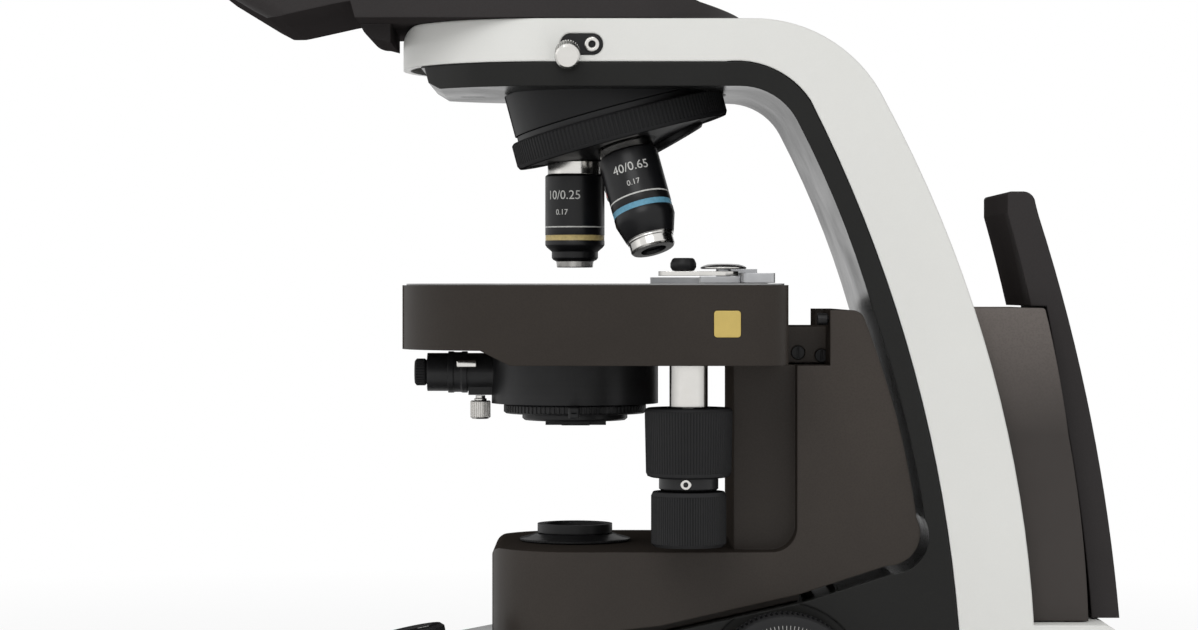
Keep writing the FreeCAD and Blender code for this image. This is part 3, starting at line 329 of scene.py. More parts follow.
def mixed(tree, factor, first, second, blend="MIX"):
    """The colour output of a Mix node."""
    node = add_node(tree, "ShaderNodeMix", data_type="RGBA", blend_type=blend)
    for index, value in ((0, factor), (6, first), (7, second)):
        if isinstance(value, bpy.types.NodeSocket):
            tree.links.new(value, node.inputs[index])
        elif index == 0:
            node.inputs[index].default_value = value
        else:
            node.inputs[index].default_value = (*value[:3], 1.0)
    return node.outputs[2]


def shifted(colour, factor):
    """A colour made lighter or darker by a factor."""
    return tuple(min(1.0, part * factor) for part in colour[:3])


def clouded(tree, mask, colour, low, high):
    """A colour that a mask about one half varies between two shares of itself."""
    share = rescaled(tree, mask, 0.3, 0.7, 0.0, 1.0)
    return mixed(tree, share, shifted(colour, low), shifted(colour, high))


def speckled(tree, mask, share, ground, speck):
    """A colour with another one over it where a mask is high, up to a share."""
    return mixed(tree, arithmetic(tree, "MULTIPLY", mask, share), ground, speck)


def joined(tree, shader, colour, rough):
    """Links the colour and the roughness of a finish to its shader."""
    tree.links.new(colour, shader.inputs["Base Color"])
    tree.links.new(rough, shader.inputs["Roughness"])


def raised(tree, shader, strength, depth, height, normal):
    """Fine relief over the softened edges."""
    bump = add_node(tree, "ShaderNodeBump", inputs={
        "Strength": strength, "Distance": depth, "Height": height, "Normal": normal})
    tree.links.new(bump.outputs["Normal"], shader.inputs["Normal"])


def turned_away(tree, blend=0.5):
    """How far the surface turns away from the eye, from 0 to 1."""
    return add_node(tree, "ShaderNodeLayerWeight", inputs={"Blend": blend}).outputs["Facing"]


def fading_shine(tree, shader, level, kept=0.0):
    """Reflection that weakens to the kept share where the surface turns away from the eye."""
    fading = rescaled(tree, turned_away(tree), 0.4, 0.87, level, level * kept)
    tree.links.new(fading, shader.inputs["Specular IOR Level"])


def lathed(tree, spot, axis, origin, lines):
    """The lathe lines of a piece round its own axis through its origin."""
    away = Vector(axis).normalized().to_track_quat("Z", "Y").inverted().to_euler()
    centred = add_node(tree, "ShaderNodeVectorMath", operation="SUBTRACT", inputs={0: spot, 1: origin})
    own = add_node(tree, "ShaderNodeMapping", inputs={"Vector": centred.outputs[0], "Rotation": away})
    return shared(tree, "Turned lines", Vector=own.outputs[0], Lines_per_metre=lines)


# Kinds of finish

def moulded(name, colour, rough, pebbles, depth, worn=1.8, spread=0.08, gloss=0.18, wear_width=0.0009,
            strength=0.25, hollow_shade=0.22, painted_height_light=None, kept=0.0):
    """Painted or moulded finish: pebbled grain with painted shade in its hollows, cloudy handling, dust on
    level faces and polished edges.

    Where given, four values paint light and shade by height, lighter towards the top: two heights and the
    factors that scale the colour at each of them.
    """
    material, tree, shader, spot = bare_material(name)
    grain = shared(tree, "Moulded grain", Vector=spot, Pebbles_per_metre=pebbles)
    marks = shared(tree, "Handling marks", Vector=spot)
    wear = shared(tree, "Edge wear", Vector=spot, Width=wear_width)
    ground = clouded(tree, marks["Smudges"], colour, 1.0 - spread, 1.0 + spread)
    # Painted light and shade: the colour is scaled by height, lighter towards the top.
    if painted_height_light:
        where = add_node(tree, "ShaderNodeSeparateXYZ", inputs={0: spot})
        share = rescaled(tree, where.outputs["Z"], *painted_height_light)
        ground = mixed(tree, 1.0, ground, share, "MULTIPLY")
    # Painted shade: the hollows of the grain are darkened towards six tenths of the colour, up to a share.
    shaded_grain = speckled(tree, grain["Hollows"], hollow_shade, ground, shifted(colour, 0.62))
    dusty = speckled(tree, marks["Dust"], 0.05, shaded_grain, (0.55, 0.54, 0.52))
    final = speckled(tree, wear["Worn"], 0.45, dusty, shifted(colour, worn))
    base = rescaled(tree, marks["Smudges"], 0.25, 0.75, rough - 0.07, rough + 0.08)
    drop = arithmetic(tree, "MULTIPLY", wear["Worn"], 0.16)
    joined(tree, shader, final, arithmetic(tree, "SUBTRACT", base, drop))
    raised(tree, shader, strength, depth, grain["Height"], wear["Normal"])
    fading_shine(tree, shader, gloss, kept)
    return material


def rubbery(name, colour):
    """Grip rubber: matt, finely grained, greyer where it is rubbed."""
    material, tree, shader, spot = bare_material(name)
    grain = shared(tree, "Moulded grain", Vector=spot, Pebbles_per_metre=2600.0, Softness=0.8)
    marks = shared(tree, "Handling marks", Vector=spot, Clouds_per_metre=60.0)
    wear = shared(tree, "Edge wear", Vector=spot, Width=0.0006, Patches_per_metre=120.0)
    ground = clouded(tree, marks["Smudges"], colour, 0.88, 1.15)
    dusty = speckled(tree, marks["Dust"], 0.07, ground, (0.5, 0.49, 0.47))
    final = speckled(tree, wear["Worn"], 0.3, dusty, shifted(colour, 1.9))
    joined(tree, shader, final, rescaled(tree, marks["Smudges"], 0.25, 0.75, 0.62, 0.8))
    raised(tree, shader, 0.3, 0.00006, grain["Height"], wear["Normal"])
    fading_shine(tree, shader, 0.3)
    return material


def turned_metal(
        name, colour, rough, axis=(0, 0, 1), origin=(0, 0, 0), lines=2600.0, metallic=1.0, dark_reflection=0.8):
    """Turned and plated metal: lathe lines round its own axis, faint tarnish, and a painted dark reflection
    where it turns away from the eye.
    """
    material, tree, shader, spot = bare_material(name)
    lathe = lathed(tree, spot, axis, origin, lines)
    marks = shared(tree, "Handling marks", Vector=spot, Clouds_per_metre=90.0)
    wear = shared(tree, "Edge wear", Vector=spot, Width=0.0004, Patches_per_metre=200.0)
    ground = clouded(tree, lathe["Streaks"], colour, 0.93, 1.04)
    cloud = rescaled(tree, marks["Smudges"], 0.5, 0.85, 0.0, 0.2)
    tarnish = tuple(part * tint for part, tint in zip(colour, (0.8, 0.76, 0.7)))
    tarnished = mixed(tree, cloud, ground, tarnish)
    # Painted reflection: the colour darkens towards a dark copy of itself where the surface turns away from
    # the eye.
    share = rescaled(tree, turned_away(tree), 0.12, 0.72, 0.0, dark_reflection)
    reflection_darkened = mixed(tree, share, tarnished, shifted(colour, 0.12))
    final = speckled(tree, wear["Worn"], 0.3, reflection_darkened, shifted(colour, 1.1))
    joined(tree, shader, final, rescaled(tree, lathe["Streaks"], 0.25, 0.75, rough - 0.04, rough + 0.06))
    raised(tree, shader, 0.12, 0.00002, lathe["Height"], wear["Normal"])
    shader.inputs["Metallic"].default_value = metallic
    return material


def lacquered(name, colour, axis=(0, 0, 1), origin=(0, 0, 0), rough=0.34):
    """Baked lacquer over turned metal, as on objectives: faint rings under a satin coat."""
    material, tree, shader, spot = bare_material(name)
    lathe = lathed(tree, spot, axis, origin, 1500.0)
    marks = shared(tree, "Handling marks", Vector=spot, Clouds_per_metre=70.0)
    wear = shared(tree, "Edge wear", Vector=spot, Width=0.0005, Patches_per_metre=160.0)
    ground = clouded(tree, lathe["Streaks"], colour, 0.85, 1.18)
    final = speckled(tree, wear["Worn"], 0.5, ground, shifted(colour, 2.0))
    joined(tree, shader, final, rescaled(tree, marks["Smudges"], 0.25, 0.75, rough - 0.06, rough + 0.09))
    raised(tree, shader, 0.2, 0.00004, lathe["Height"], wear["Normal"])
    fading_shine(tree, shader, 0.28)
    shader.inputs["Coat Weight"].default_value = 0.06
    shader.inputs["Coat Roughness"].default_value = 0.2
    return material


def coated_glass(name, tint):
    """Lens glass with a coloured antireflection coat and a little dust on it."""
    material, tree, shader, spot = bare_material(name)
    marks = shared(tree, "Handling marks", Vector=spot, Clouds_per_metre=140.0)
    colour = mixed(tree, turned_away(tree, 0.35), tint, shifted((0.75, 0.6, 0.95), 0.9))
    joined(tree, shader, colour, rescaled(tree, marks["Smudges"], 0.45, 0.8, 0.02, 0.12))
    shader.inputs["Transmission Weight"].default_value = 0.85
    shader.inputs["IOR"].default_value = 1.52
    shader.inputs["Coat Weight"].default_value = 0.6
    shader.inputs["Coat Roughness"].default_value = 0.05
    return material


def printed(name, colour):
    """Screen printed ink: slightly uneven cover and a dull surface."""
    material, tree, shader, spot = bare_material(name)
    marks = shared(tree, "Handling marks", Vector=spot, Clouds_per_metre=700.0)
    final = clouded(tree, marks["Smudges"], colour, 0.78, 1.08)
    joined(tree, shader, final, rescaled(tree, marks["Smudges"], 0.3, 0.7, 0.42, 0.6))
    return material


# How each finish is made, from the name of its material and the scene's colours

FINISHES = {
    "white paint": lambda name, paint: moulded(
        name, paint.cover, 0.4, 1500.0, 0.00003, worn=1.04, spread=0.012, gloss=0.4, wear_width=0.0012,
        strength=0.06, hollow_shade=0.03, kept=1.0),
    "dark casting": lambda name, paint: moulded(
        name, paint.casting, 0.2, 1500.0, 0.00004, worn=1.5, gloss=0.14, strength=0.08, kept=0.14),
    # Painted light: the body moulding is made lighter towards the top.
    "body moulding": lambda name, paint: moulded(
        name, paint.body, 0.34, 1300.0, 0.00005, worn=1.5, gloss=0.15, painted_height_light=(0.09, 0.18, 1.0, 1.3)),
    "stage moulding": lambda name, paint: moulded(
        name, shifted(paint.body, 0.86), 0.34, 1300.0, 0.00005, worn=1.5, gloss=0.1),
    # Painted light and shade: the rear moulding is darker low down and lighter towards the top.
    "rear moulding": lambda name, paint: moulded(
        name, paint.rear, 0.42, 1300.0, 0.00005, worn=1.4, painted_height_light=(0.15, 0.205, 0.64, 2.0)),
    "charcoal moulding": lambda name, paint: moulded(
        name, paint.shell, 0.42, 1400.0, 0.00005, worn=1.6, gloss=0.14),
    "base paint": lambda name, paint: moulded(
        name, shifted(paint.casting, 0.85), 0.5, 1100.0, 0.00012, worn=1.9),
    "black plastic": lambda name, paint: moulded(
        name, tone(34, 34, 35), 0.38, 2200.0, 0.00005, worn=2.0),
    "lamp white": lambda name, paint: moulded(
        name, tone(232, 230, 222), 0.5, 1800.0, 0.00005, worn=1.02, spread=0.03),
    "board green": lambda name, paint: moulded(
        name, tone(34, 92, 58), 0.4, 2500.0, 0.00003, worn=1.3),
    "grip rubber": lambda name, paint: rubbery(name, paint.rubber),
    "foot rubber": lambda name, paint: rubbery(name, shifted(paint.rubber, 0.8)),
    # The turned metals below carry a painted dark reflection where they turn away from the eye.
    "plating": lambda name, paint: turned_metal(name, paint.plating, 0.16, lines=900.0),
    "plate metal": lambda name, paint: turned_metal(
        name, tone(150, 150, 150), 0.36, axis=(1, 0, 0), lines=1800.0, dark_reflection=0.2),
    "ground steel": lambda name, paint: turned_metal(
        name, tone(168, 168, 168), 0.3, axis=(0, 1, 0), lines=3200.0),
    "brass": lambda name, paint: turned_metal(
        name, tone(206, 170, 96), 0.3, axis=(1, 0, 0), origin=FOCUS_AXIS),
    "gold": lambda name, paint: turned_metal(
        name, paint.badge, 0.35, axis=(0, 1, 0), lines=1500.0, metallic=0.55, dark_reflection=0.2),
    "aluminium": lambda name, paint: turned_metal(
        name, tone(184, 185, 187), 0.34, axis=(0, 1, 0), lines=1400.0, dark_reflection=0.3),
    "blackened": lambda name, paint: lacquered(name, tone(30, 30, 31), rough=0.4),
    "ink": lambda name, paint: printed(name, paint.ink),
    "clear glass": lambda name, paint: coated_glass(name, (0.93, 0.95, 0.98)),
}


def finish(name):
    """One of the finishes of the microscope, built the first time it is asked for."""
    title = name.capitalize()
    return bpy.data.materials.get(title) or FINISHES[name](title, colours())


# Mesh steps shared by the pieces

def linked(name, data):
    """A new object with its data, linked to the scene."""
    piece = bpy.data.objects.new(name, data)
    bpy.context.scene.collection.objects.link(piece)
    return piece


def moved(x, y, z):
    """A placement at a point given in millimetres."""
    return Matrix.Translation(Vector((x, y, z)) * MM)


def aimed(origin, axis):
    """A placement whose own Z runs along an axis from its origin."""
    way = Vector(axis).normalized().to_track_quat("Z", "Y").to_matrix().to_4x4()
    return Matrix.Translation(origin) @ way


def tube_end(side):
    """The middle of an eyepiece tube's open end, which the heights of its eyepiece run from."""
    return EYE_START + Vector((EYE_ASIDE * side, 0, 0)) - EYE_UP * EYE_DROP + EYE_AXIS * TUBE_END


def spun(outline, steps, closed=False):
    """Spins an outline of radius and height, in millimetres, about Z."""
    bm = bmesh.new()
    rim = [bm.verts.new((radius * MM, 0.0, height * MM)) for radius, height in outline]
    pairs = list(zip(rim, rim[1:]))
    if closed:
        pairs.append((rim[-1], rim[0]))
    edges = [bm.edges.new(pair) for pair in pairs]
    bmesh.ops.spin(
        bm, geom=rim + edges, cent=(0, 0, 0), axis=(0, 0, 1), angle=math.tau, steps=steps, use_merge=True)
    bmesh.ops.remove_doubles(bm, verts=bm.verts, dist=SAME_POINT)
    bmesh.ops.recalc_face_normals(bm, faces=bm.faces)
    return bm


def grip_faces(bm, low, high):
    """The faces of a grip band between two heights that look outwards, in order round the axis."""
    found = []
    for face in bm.faces:
        middle = face.calc_center_median()
        outward = face.normal.x * middle.x + face.normal.y * middle.y
        if low * MM < middle.z < high * MM and outward > 0 and abs(face.normal.z) < 0.3:
            found.append((math.atan2(middle.y, middle.x), face))
    return [pair[1] for pair in sorted(found, key=lambda pair: pair[0])]


def grooved(bm, low, high, depth, margin):
    """Sinks every other face of a grip band, which leaves ribs between the grooves."""
    band = grip_faces(bm, low, high)
    bmesh.ops.inset_individual(bm, faces=band[::2], thickness=margin, depth=-depth, use_even_offset=True)


def painted(bm, test, index):
    """Gives the faces whose centre passes a test another finish of the piece."""
    for face in bm.faces:
        middle = face.calc_center_median()
        if test(math.hypot(middle.x, middle.y) / MM, middle.z / MM):
            face.material_index = index


def repainted(bm, index):
    """Gives all the faces of a mesh another finish of its piece."""
    for face in bm.faces:
        face.material_index = index
    return bm


def rounded_block(size, radius, segments=3):
    """A block with its edges rounded over, sized in millimetres about its centre."""
    bm = bmesh.new()
    bmesh.ops.create_cube(bm, size=1.0)
    bmesh.ops.scale(bm, vec=[part * MM for part in size], verts=bm.verts)
    bmesh.ops.bevel(
        bm, geom=list(bm.edges), offset=radius * MM, offset_type="OFFSET", segments=segments, profile=0.5,
        affect="EDGES", material=-1)
    return bm


def added(bm, other, place=None):
    """Adds another mesh to this one, at a placement, and frees the other."""
    if place is not None:
        bmesh.ops.transform(other, matrix=place, verts=other.verts)
    spare = bpy.data.meshes.new("spare")
    other.to_mesh(spare)
    other.free()
    bm.from_mesh(spare)
    bpy.data.meshes.remove(spare)
    return bm


def figures(words, height, thick=0.05):
    """Figures as a flat raised mesh, centred on the origin in XY, type size and thickness in millimetres."""
    curve = bpy.data.curves.new("figures", "FONT")
    curve.body = words
    curve.size = height * MM
    curve.extrude = thick * MM / 2
    curve.align_x = "CENTER"
    curve.align_y = "CENTER"
    curve.resolution_u = 3
    carrier = linked("figures", curve)
    bpy.context.view_layer.update()
    mesh = bpy.data.meshes.new_from_object(carrier.evaluated_get(bpy.context.evaluated_depsgraph_get()))
    bm = bmesh.new()
    bm.from_mesh(mesh)
    bpy.data.objects.remove(carrier)
    bpy.data.curves.remove(curve)
    bpy.data.meshes.remove(mesh)
    bmesh.ops.remove_doubles(bm, verts=bm.verts, dist=SAME_POINT)
    return bm


def wrapped(bm, radius, height, start):
    """Bends a flat mesh round Z at a radius, its middle at a height and at a starting angle in degrees."""
    for vert in bm.verts:
        angle = math.radians(start) + vert.co.x / (radius * MM)
        reach = radius * MM + vert.co.z
        vert.co = Vector((reach * math.cos(angle), reach * math.sin(angle), height * MM + vert.co.y))
    return bm


def hung(bm, name, body, finishes, place=None, replaces=(), edge=None, angle=32.0):
    """Turns a finished mesh into a piece that moves with its CAD body, its place kept in its mesh.

    Finishes are given by name, or as materials of the piece's own.
    """
    if place is not None:
        bmesh.ops.transform(bm, matrix=place, verts=bm.verts)
    for face in bm.faces:
        face.smooth = True
    bm.normal_update()
    for rim in bm.edges:
        rim.smooth = len(rim.link_faces) == 2 and rim.calc_face_angle(0.0) < math.radians(angle)
    mesh = bpy.data.meshes.new(name)
    bm.to_mesh(mesh)
    bm.free()
    for one in finishes:
        mesh.materials.append(finish(one) if isinstance(one, str) else one)
    piece = linked(name, mesh)
    if edge:
        bevel = piece.modifiers.new("Edge", "BEVEL")
        bevel.width = edge
        bevel.segments = 2
        bevel.limit_method = "ANGLE"
        bevel.angle_limit = math.radians(30)
        bevel.harden_normals = True
        bevel.use_clamp_overlap = True
    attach(piece, body)
    if replaces:
        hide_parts(*replaces)
    return piece


def turned(name, body, finishes, outline, steps, place=None, replaces=(), closed=False, ribs=None,
           second=None, edge=None):
    """A round piece spun from its outline, with its second finish where a test says so and a ribbed band."""
    bm = spun(outline, steps, closed)
    if second:
        painted(bm, second, 1)
    if ribs:
        grooved(bm, *ribs)
    hung(bm, name, body, finishes, place, replaces, edge)


# The CAD nodes that keep their shape, by finish

CAD_FINISHES = {
    "white paint": ("frame_cover",),
    "dark casting": ("inner_frame",),
    "body moulding": ("illuminator_body", "focus_slider"),
    "rear moulding": ("rear_housing",),
    "charcoal moulding": ("cord_winder", "head_housing", "right_tube", "left_tube"),
    "base paint": ("base_plate",),
    "foot rubber": ("rubber_feet",),
    "blackened": (
        "field_lens_mount", "head_seat", "condenser_carrier", "condenser_body",
        "turret", "bracket_screws"),
    "aluminium": ("heat_sink", "y_carriage", "specimen_holder"),
    "lamp white": ("lamp_module",),
    "board green": ("power_board",),
    "black plastic": ("power_inlet", "power_switch", "nosepiece_base", "slot_inlay"),
    "ground steel": ("focus_rails",),
    "brass": ("focus_rack", "focus_pinion"),
    "stage moulding": ("stage_casing",),
    "plate metal": ("stage_plate",),
    "gold": ("stage_badge",),
    "plating": ("drive_column", "holder_finger"),
}


class MICROSCOPE_OT_finish_castings(bpy.types.Operator):
    """Paints the castings, mouldings and metal parts that keep their CAD shape"""
    bl_idname = "microscope.finish_castings"
    bl_label = "Castings and mouldings"

    def execute(self, context):
        for name, nodes in CAD_FINISHES.items():
            for node in nodes:
                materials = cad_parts[node].data.materials
                materials.clear()
                materials.append(finish(name))
        return {"FINISHED"}


class MICROSCOPE_OT_build_nosepiece(bpy.types.Operator):
    """Builds the ribbed grip of the nosepiece and the cap of its empty place"""
    bl_idname = "microscope.build_nosepiece"
    bl_label = "Nosepiece grip"

    def execute(self, context):
        size = sizes()
        turned("nosepiece_grip_ribs", "nosepiece", ["grip rubber"], [
            (42.2, -16), (44.2, -16), (45, -15.2), (45, -6.6), (44.2, -5.2), (42.6, -5), (42.2, -5.4),
        ], size.turret_ribs * 2, aimed(APEX + TURRET_AXIS * SHOULDER, TURRET_AXIS), ("turret_grip",),
            closed=True, ribs=(-15.0, -7.0, size.turret_rib, 0.12 * MM))
        way = PLACES["back"]
        turned("empty_place_cap", "nosepiece", ["black plastic"], [
            (0, 3), (6, 3), (7, 2.6), (8.6, 2.6), (9.6, 3), (11.4, 3), (12.4, 2.2), (12.4, 0.2),
            (10.1, 0), (10.1, -3.5), (8.5, -3.5), (8.5, -0.5), (0, -0.5),
        ], 72, aimed(APEX + way * SHOULDER, way), ("port_cap",))
        return {"FINISHED"}


# The upper end of an objective's outline, as radius and height in millimetres
COLLAR = [(0, -0.4), (8, -0.4), (8.6, 0), (11, 0), (11.3, 0.4)]


def build_objective(name, key, node, outline, bands, lines, ring_colour):
    """One objective hanging along its own axis: collar, barrel, colour ring, figures and front lens."""
    way = PLACES[key]
    origin = APEX + way * SHOULDER
    place = aimed(origin, way)
    metal = turned_metal(
        "Plating of the " + name, colours().plating, 0.16, axis=way, origin=origin, lines=900.0)
    black = lacquered("Lacquer of the " + name, colours().barrel, axis=way, origin=origin)
    ring = printed("Ring of the " + name, ring_colour)
    body = spun(outline, 96)
    for low, high, index in bands:
        painted(body, lambda radius, height: low < height < high and radius > OPENING_R, index)
    hung(body, "objective_" + name, "nosepiece", [black, metal, ring, "ink"], place, (node,),
         edge=0.15 * MM)
    front = outline[-2][1]
    turned("front_lens_" + name, "nosepiece", ["clear glass"], [
        (0, front - 0.9), (3, front - 0.7), (FRONT_LENS_R, front - 0.1), (FRONT_LENS_R, front - 1.6),
        (0, front - 1.6),
    ], 48, place)
    sheet = bmesh.new()
    towards = place.inverted().to_3x3() @ Vector((1.0, 0.0, 0.0))
    facing = math.degrees(math.atan2(towards.y, towards.x))
    for words, height, run, aside in lines:
        line = figures(words, height)
        bmesh.ops.rotate(line, cent=(0, 0, 0), matrix=Matrix.Rotation(math.pi, 3, "Z"), verts=line.verts)
        added(sheet, wrapped(line, BARREL_R, run, facing + aside))
    hung(sheet, "figures_" + name, "nosepiece", ["ink"], place)


class MICROSCOPE_OT_build_objectives(bpy.types.Operator):
    """Builds the three objectives with their colour rings, figures and front lenses"""
    bl_idname = "microscope.build_objectives"
    bl_label = "Objectives"

    def execute(self, context):
        paint = colours()
        big = sizes().figure_height / MM
        build_objective("10", "in_use", "objective_10x", COLLAR + [
            (11.3, 5.6), (12, 6.1), (12.3, 6.5), (12.3, 27.2), (12.3, 27.7), (12.3, 30.6),
            (12.22, 30.8), (12.22, 33), (12.3, 33.2), (12.3, 34.9), (11.6, 35.9), (9.6, 37.6),
            (9.6, 40.2), (9, 41), (7.8, 41.6), (7.5, 44), (7.2, 44.2), (5.2, 44.2), (4.9, 42.6),
            (0, 42.6),
        ], [(0.0, 6.15, 1), (27.2, 27.7, 3), (30.8, 33.0, 2), (41.5, 44.3, 1)], [
            ("10/0.25", big, 14.5, 24.0), ("0.17", big * 0.62, 21.5, 26.0),
        ], paint.ring_ten)
        build_objective("40", "right", "objective_40x", COLLAR + [
            (11.3, 1.3), (11.3, 4.3), (12, 4.7), (12.3, 5.1), (12.3, 23.9), (12.3, 24.5), (12.3, 27.4),
            (12.2, 27.6), (12.2, 30), (12.3, 30.2), (12.3, 32.9), (11.9, 34.2), (9.9, 40.6), (9.5, 41),
            (9.5, 41.6), (9.1, 41.9), (9.1, 45.1), (8.5, 45.9), (5.2, 46), (4.9, 44.6), (0, 44.6),
        ], [(0.0, 4.75, 1), (23.9, 24.5, 3), (27.6, 30.0, 2), (40.8, 46.3, 1)], [
            ("40/0.65", big, 13.0, 2.0), ("0.17", big * 0.62, 19.6, 4.0),
        ], paint.ring_forty)
        build_objective("4", "left", "objective_4x", COLLAR + [
            (11.3, 1.3), (11.3, 4.3), (12, 4.7), (12.3, 5.1), (12.3, 15.4), (12.2, 15.6), (12.2, 17.6),
            (12.3, 17.8), (12.3, 19), (11.4, 20.8), (10.8, 21.8), (9.6, 22), (5.2, 21.9), (4.9, 20.6),
            (0, 20.6),
        ], [(0.0, 1.3, 1), (15.6, 17.6, 2), (20.9, 22.3, 1)], [
            ("4/0.10", big, 10.4, 180.0),
        ], paint.ring_four)
        return {"FINISHED"}


class MICROSCOPE_OT_build_stage_drive(bpy.types.Operator):
    """Builds the two coaxial knobs that hang under the stage, with the set screw in their neck"""
    bl_idname = "microscope.build_stage_drive"
    bl_label = "Stage drive knobs"

    def execute(self, context):
        size = sizes()
        place = Matrix.Translation(DRIVE_AXIS)
        turned("upper_drive_knob_ribs", "upper_drive_knob", ["grip rubber", "blackened"], [
            (3.1, 129.9), (10.8, 129.9), (11.6, 130.6), (11.6, 134.6), (12.2, 135), (14.8, 135),
            (16.1, 135.5), (16.7, 136.8), (17.2, 160.8), (16.6, 161.8), (15.8, 162.1), (9, 162.1),
            (8.4, 161.4), (3.1, 161.4),
        ], size.drive_ribs * 2, place, ("y_knob",), closed=True,
            ribs=(137.0, 160.6, size.drive_rib, 0.12 * MM), second=lambda radius, height: height < 134.8)
        turned("lower_drive_knob_ribs", "lower_drive_knob", ["grip rubber"], [
            (0, 108.4), (9.6, 108.4), (10.2, 107.9), (13.4, 107.9), (14.7, 109.2), (14.7, 127.8),
            (13.9, 129.4), (3.1, 129.5), (3.1, 110), (0, 110),
        ], size.drive_ribs * 2, place, ("x_knob",), ribs=(109.3, 127.7, size.drive_rib, 0.1 * MM))
        out = Vector((1.0, -0.12, 0.0)).normalized()
        turned("neck_set_screw", "upper_drive_knob", ["plating"], [
            (0, 0.9), (0.9, 0.9), (1, 1.4), (1.9, 1.4), (2.15, 1.1), (2.15, -0.6), (0, -0.6),
        ], 36, aimed(DRIVE_AXIS + out * 10.6 * MM + Vector((0, 0, 132.6 * MM)), out))
        return {"FINISHED"}


class MICROSCOPE_OT_build_holder(bpy.types.Operator):
    """Builds the specimen finger's thumb knob, its pivot disc and the scales on the stage"""
    bl_idname = "microscope.build_holder"
    bl_label = "Specimen holder fittings"

    def execute(self, context):
        turned("finger_thumb_knob", "holder_finger", ["black plastic"], [
            (0, 5.3), (3.6, 5.3), (4.4, 4.9), (5.2, 3.2), (5.2, 1.6), (4.4, 0.2), (3.2, 0), (0, 0),
        ], 12, moved(43.8, 43.8, 215.55), ("finger_knob",), edge=0.25 * MM)
        disc = spun([
            (0, 2), (2.2, 2), (2.6, 1.7), (3, 2.1), (6.2, 1.9), (8.2, 1.3), (9.2, 0.7), (9.2, 0.2),
            (8.8, 0), (0, 0),
        ], 96)
        painted(disc, lambda radius, height: radius < 2.4, 1)
        slot = repainted(rounded_block((4.0, 0.6, 0.5), 0.1, 1), 1)
        added(disc, slot, Matrix.Translation((0, 0, 1.85 * MM)) @ Matrix.Rotation(0.5, 4, "Z"))
        hung(disc, "pivot_disc_turned", "specimen_holder", [
            turned_metal("Pivot disc metal", colours().plating, 0.22, origin=(0.046, 0.0598, 0.0)),
            "black plastic",
        ], moved(46.0, 59.8, 216.4), ("pivot_disc",))
        scale = bmesh.new()
        for mark in range(61):
            tall = 3.0 if mark % 10 == 0 else (2.2 if mark % 5 == 0 else 1.5)
            tick = rounded_block((0.16, tall, 0.03), 0.01, 1)
            added(scale, tick, moved(mark - 38.0, 64.4 - tall / 2, HOLDER_TOP))
        for tens in range(0, 70, 10):
            added(scale, figures(str(tens), 2.2, 0.03), moved(tens - 38.0, 59.4, HOLDER_TOP))
        hung(scale, "holder_scale", "specimen_holder", ["black plastic"])
        return {"FINISHED"}


class MICROSCOPE_OT_build_condenser(bpy.types.Operator):
    """Builds the aperture ring with its lever, and the condenser's screws, collar and top lens"""
    bl_idname = "microscope.build_condenser"
    bl_label = "Condenser fittings"

    def execute(self, context):
        size = sizes()
        ring = spun([
            (8, 154.2), (20.8, 154.2), (21.8, 155), (21.8, 157), (28.6, 157), (29.5, 157.7),
            (29.5, 160.4), (29, 160.9), (8, 160.9),
        ], 180, closed=True)
        grooved(ring, 157.6, 160.5, 0.4 * MM, 0.08 * MM)
        lever = rounded_block((19.0, 4.2, 2.4), 1.0, 3)
        added(ring, lever, moved(36.4, 0.0, 158.5))
        grip = rounded_block((3.0, 4.6, 5.0), 0.9, 3)
        added(ring, grip, moved(44.4, 0.0, 158.9))
        hung(ring, "aperture_ring_lever", "aperture_ring", ["blackened"], None,
             ("aperture_ring",))
        turned("condenser_knob_knurled", "condenser_knob", ["grip rubber"], [
            (0, 5), (4.6, 5), (5.6, 4.2), (5.6, 0.8), (5, 0.1), (0, 0.1),
        ], size.screw_knurls * 2, aimed(Vector((0.0, -61.4, 174.0)) * MM, (0, -1, 0)), ("condenser_knob",),
            ribs=(0.9, 4.1, 0.4 * MM, 0.05 * MM))
        turned("condenser_clamp_knurled", "condenser_clamp", ["plating"], [
            (0, 0.2), (3.4, 0.2), (4.2, 0.9), (4.2, 7.4), (3.8, 7.8), (2.6, 7.9), (2.6, 8.6), (2, 8.8),
            (2, 9.9), (0, 9.9),
        ], size.screw_knurls * 2, moved(0.0, -39.2, 154.4), ("condenser_clamp",),
            ribs=(1.0, 7.3, 0.32 * MM, 0.05 * MM))
        turned("condenser_drive_collar", "condenser", ["blackened"], [
            (7.95, 0), (8.6, 0), (8.6, 2.2), (8.3, 2.6), (8.3, 5.4), (8.6, 5.8), (8.6, 8), (7.95, 8),
        ], 90, aimed(Vector((0.0, -44.5, 174.0)) * MM, (0, -1, 0)), closed=True, edge=0.2 * MM)
        plate = rounded_block((2.2, 8.6, 3.2), 0.8, 3)
        hung(plate, "condenser_drive_stop", "condenser", ["plating"],
             moved(7.6, -44.6, 177.6))
        turned("condenser_top_lens", "condenser", ["clear glass"], [
            (0, 207.7), (4, 207.5), (7.4, 206.8), (10, 205.4), (10, 204.5), (0, 204.5),
        ], 64, replaces=("condenser_lens",))
        return {"FINISHED"}


